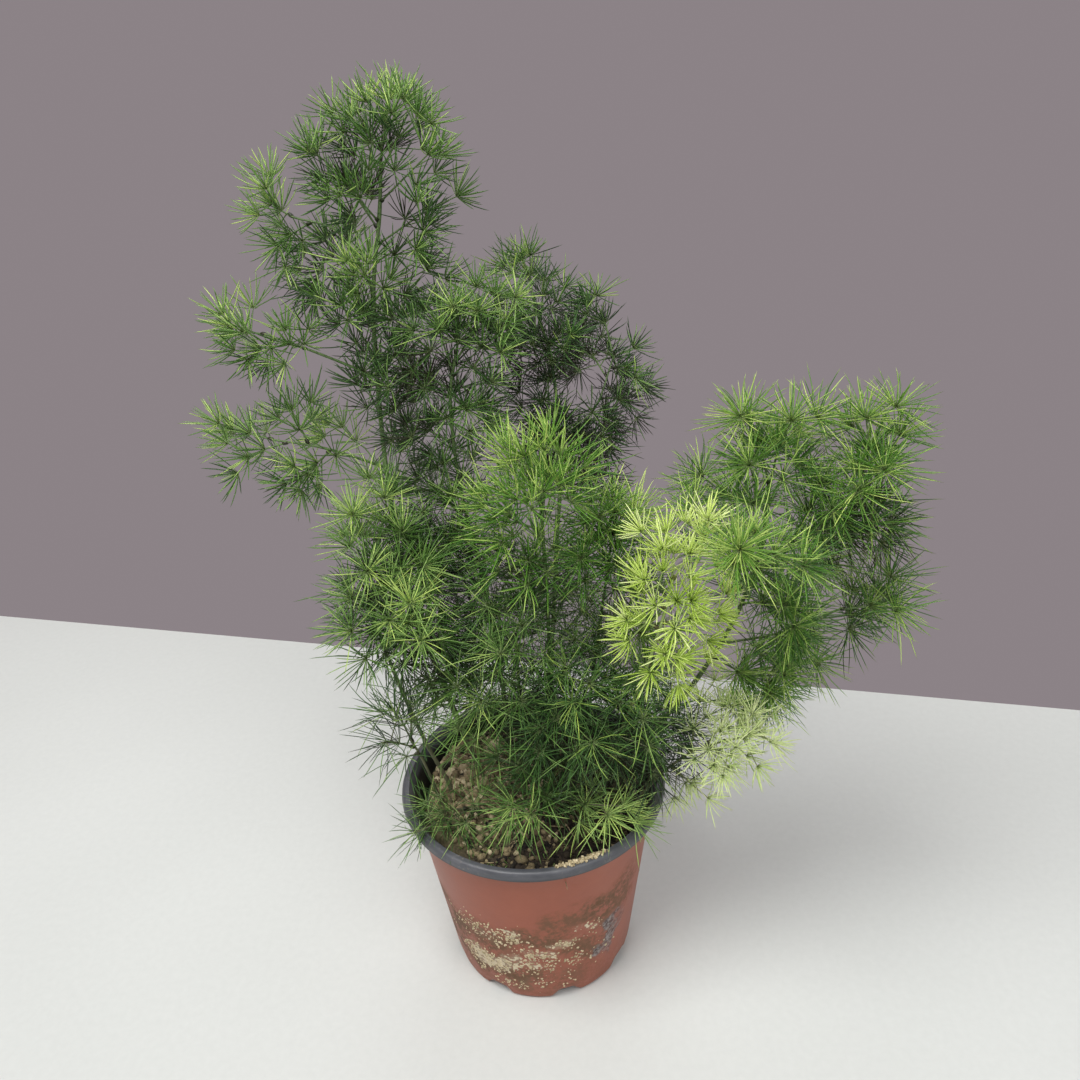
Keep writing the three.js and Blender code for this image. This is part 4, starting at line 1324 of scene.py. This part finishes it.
def strewWall(models, finish):
    # Lime grains stuck to the wall, most of them where the clay's finish shows lime too
    rng = random.Random(83)
    weights = [wide * high * strength for _, _, wide, high, strength in grime["lime"]]
    spots = []
    while len(spots) < grit["wallGrains"]:
        patch = rng.choices(grime["lime"], weights)[0]
        turn = rng.gauss(patch[0], patch[2] * 0.55)
        height = rng.gauss(patch[1], patch[3] * 0.55)
        angle = math.radians(turn - 90)
        radius = wallRadius(height)
        x, y = radius * math.cos(angle), radius * math.sin(angle)
        crowd = noise.fractal(Vector((x, y, height)) / grit["wallCrowd"], 0.9, 2.0, 3)
        if height < grit["wallLowest"] or crowd < rng.gauss(-0.05, 0.15):
            continue
        size = rng.uniform(*grit["wallSize"]) * (1 + (rng.random() < 0.06) * 0.6)
        outward = Vector((math.cos(angle), math.sin(angle), 0.12)).normalized()
        sizes = (size * rng.uniform(0.8, 1.6), size * rng.uniform(0.8, 1.6), size * 0.5)
        spots.append(((x, y, height), sizes, outward, rng.gauss(0.93, 0.07)))
    strew("wallLime", finish, models, spots)


def strewHairs(model, finish, needleFinish):
    # Peat fibres, and short moss on the mound
    rng = random.Random(71)
    fibres = []
    for _ in range(soil["fibres"]):
        x, y = bedSpot(rng, rng.random() < 0.3)
        way = Vector((rng.gauss(0, 1), rng.gauss(0, 1), rng.uniform(0.0, 0.5))).normalized()
        bend = Vector((rng.gauss(0, 0.3), rng.gauss(0, 0.3), rng.uniform(-0.5, 0.0)))
        place = Vector((x, y, bedHeight(x, y) + 0.0005)) / millimetre
        tone = rng.choice((0.5, 0.65, 0.8, 0.15))
        length, width = rng.uniform(*soil["fibreLength"]), rng.uniform(*soil["fibreWidth"])
        fibres.append([*place, *way, *bend, length, width, tone])
    handOver(needlePiece("peatFibres", model, fibres, finish))

    hairs = []
    while len(hairs) < soil["mossHairs"]:
        x, y = bedSpot(rng, True)
        if noise.noise(Vector((x, y, 0.2)) / 0.012) < rng.uniform(-0.2, 0.25):
            continue
        way = Vector((rng.gauss(0, 0.4), rng.gauss(0, 0.4), 1)).normalized()
        bend = Vector((rng.gauss(0, 0.2), rng.gauss(0, 0.2), 0))
        place = Vector((x, y, bedHeight(x, y))) / millimetre
        length, width = rng.uniform(*soil["mossLength"]), rng.uniform(*soil["mossWidth"])
        hairs.append([*place, *way, *bend, length, width, rng.gauss(0.45, 0.12)])
    handOver(needlePiece("moundMoss", model, hairs, needleFinish))


buds = {
    # Foot and height of each bud that comes up through the soil, in millimetres
    "spears": [((26, -22), 11), ((34, -30), 7), ((22, -15), 8)],
    "scales": 9,
}


def makeBuds(model, stalkFinish, youngFinish):
    rng = random.Random(19)
    stalks = []
    placed = []
    for (x, y), height in buds["spears"]:
        foot = Vector((x, y, soilHeight(x, y) - 2))
        top = foot + Vector((rng.uniform(-2, 2), rng.uniform(-2, 2), height))
        stalks.append([(foot, 0.7), (foot.lerp(top, 0.6), 0.65), (top, 0.5)])
        for i in range(buds["scales"]):
            turn = i * 2.4
            way = Vector((math.cos(turn) * 0.35, math.sin(turn) * 0.35, 1)).normalized()
            bend = Vector((-way.x, -way.y, 0)) * 0.5
            start = foot.lerp(top, 0.55 + 0.05 * i)
            placed.append([*start, *way, *bend, rng.uniform(3.5, 5.5), 1.5, rng.gauss(0.45, 0.08)])
    spears = makeTubes("budStalks", stalks, 1, stalkFinish)
    piece = needlePiece("youngBuds", model, placed, youngFinish)
    joinTo(piece, [spears])
    handOver(piece)


def dressSoil(model, finishes, stalkFinish):
    makeSoilBed()
    lumps = makeLumpModels()
    gritFinish = makeGritFinish()
    strewSoil(lumps, gritFinish)
    strewRim(lumps, gritFinish)
    strewWall(lumps, gritFinish)
    strewHairs(model, gritFinish, finishes["foliage_mid"])
    makeBuds(model, stalkFinish, finishes["foliage_young"])


dressSoil(*plantParts)


# Camera where the photo was taken from, and soft light round a pale floor

view = {
    "place": (0.0343, -0.3796, 0.4443),
    "down": 28.3,
    "turn": -3.6,
    "roll": -3.4,
    "lens": 33.33,
}


def makeCamera():
    down, turn, roll = (math.radians(view[name]) for name in ("down", "turn", "roll"))
    forward = Vector((math.sin(turn) * math.cos(down), math.cos(turn) * math.cos(down), -math.sin(down)))
    level = forward.cross(Vector((0, 0, 1))).normalized()
    upright = level.cross(forward)
    right = level * math.cos(roll) + upright * math.sin(roll)
    up = upright * math.cos(roll) - level * math.sin(roll)
    bpy.ops.object.camera_add()
    camera = bpy.context.object
    camera.data.sensor_width = 36
    camera.data.lens = view["lens"]
    camera.data.clip_start = 0.01
    turned = Matrix((right, up, -forward)).transposed().to_4x4()
    camera.matrix_world = Matrix.Translation(view["place"]) @ turned
    bpy.context.scene.camera = camera


room = {
    "floorEdge": 0.240,
    "floorTurn": -10.6,
    "floorDepth": 1.6,
    "floorWidth": 3.2,
    "floorThickness": 0.02,
    "floor": [(0.3, (0.61, 0.635, 0.61)), (0.7, (0.69, 0.715, 0.69))],
    "backdrop": (0.26, 0.225, 0.24),
    "lights": [
        # Place, what it faces, width, power and colour
        ((-0.40, -0.50, 1.50), (0, 0, 0.2), 0.9, 20.0, (1.0, 1.0, 0.98)),
        ((0.60, -0.95, 1.05), (0, 0, 0.2), 1.1, 7.5, (0.97, 0.99, 1.0)),
        ((0.1, 0.9, 1.25), (0, 0, 0.2), 0.8, 4.0, (1.0, 1.0, 1.0)),
    ],
}


def makeRoom():
    turn = math.radians(room["floorTurn"])
    away = Vector((-math.sin(turn), math.cos(turn), 0))
    middle = away * (room["floorEdge"] - room["floorDepth"] / 2)
    clearSelection()
    middle.z = -room["floorThickness"] / 2
    bpy.ops.mesh.primitive_cube_add(size=1, location=middle, rotation=(0, 0, turn))
    table = bpy.context.object
    table.name = "paleFloor"
    sides = (room["floorWidth"], room["floorDepth"], room["floorThickness"])
    bpy.ops.transform.resize(value=sides, orient_type="LOCAL")
    settle(table)
    cloth = Finish("paleCloth")
    places = cloth.places()
    tone = cloth.noise(places, 0.35, 2.0) * 0.7 + cloth.noise(places, 0.004, 3.0) * 0.3
    colour = cloth.ramp(tone, room["floor"])
    table.data.materials.append(cloth.surface(Base_Color=colour, Roughness=0.75))

    # The world's plain colour stands for the dull mauve cloth behind the plant
    world = bpy.data.worlds.new("softRoom")
    bpy.context.scene.world = world
    bpy.context.scene.view_settings.view_transform = "Standard"
    world.use_nodes = True
    background = world.node_tree.nodes["Background"]
    background.inputs["Color"].default_value = (*room["backdrop"], 1)
    background.inputs["Strength"].default_value = 1.0

    for place, target, width, power, tint in room["lights"]:
        bpy.ops.object.light_add(type="AREA", location=place)
        lamp = bpy.context.object
        lamp.data.shape = "DISK"
        lamp.data.size = width
        lamp.data.energy = power
        lamp.data.color = tint
        lamp.rotation_euler = (Vector(target) - Vector(place)).to_track_quat("-Z", "Y").to_euler()


makeCamera()
makeRoom()

print("all pieces in place")
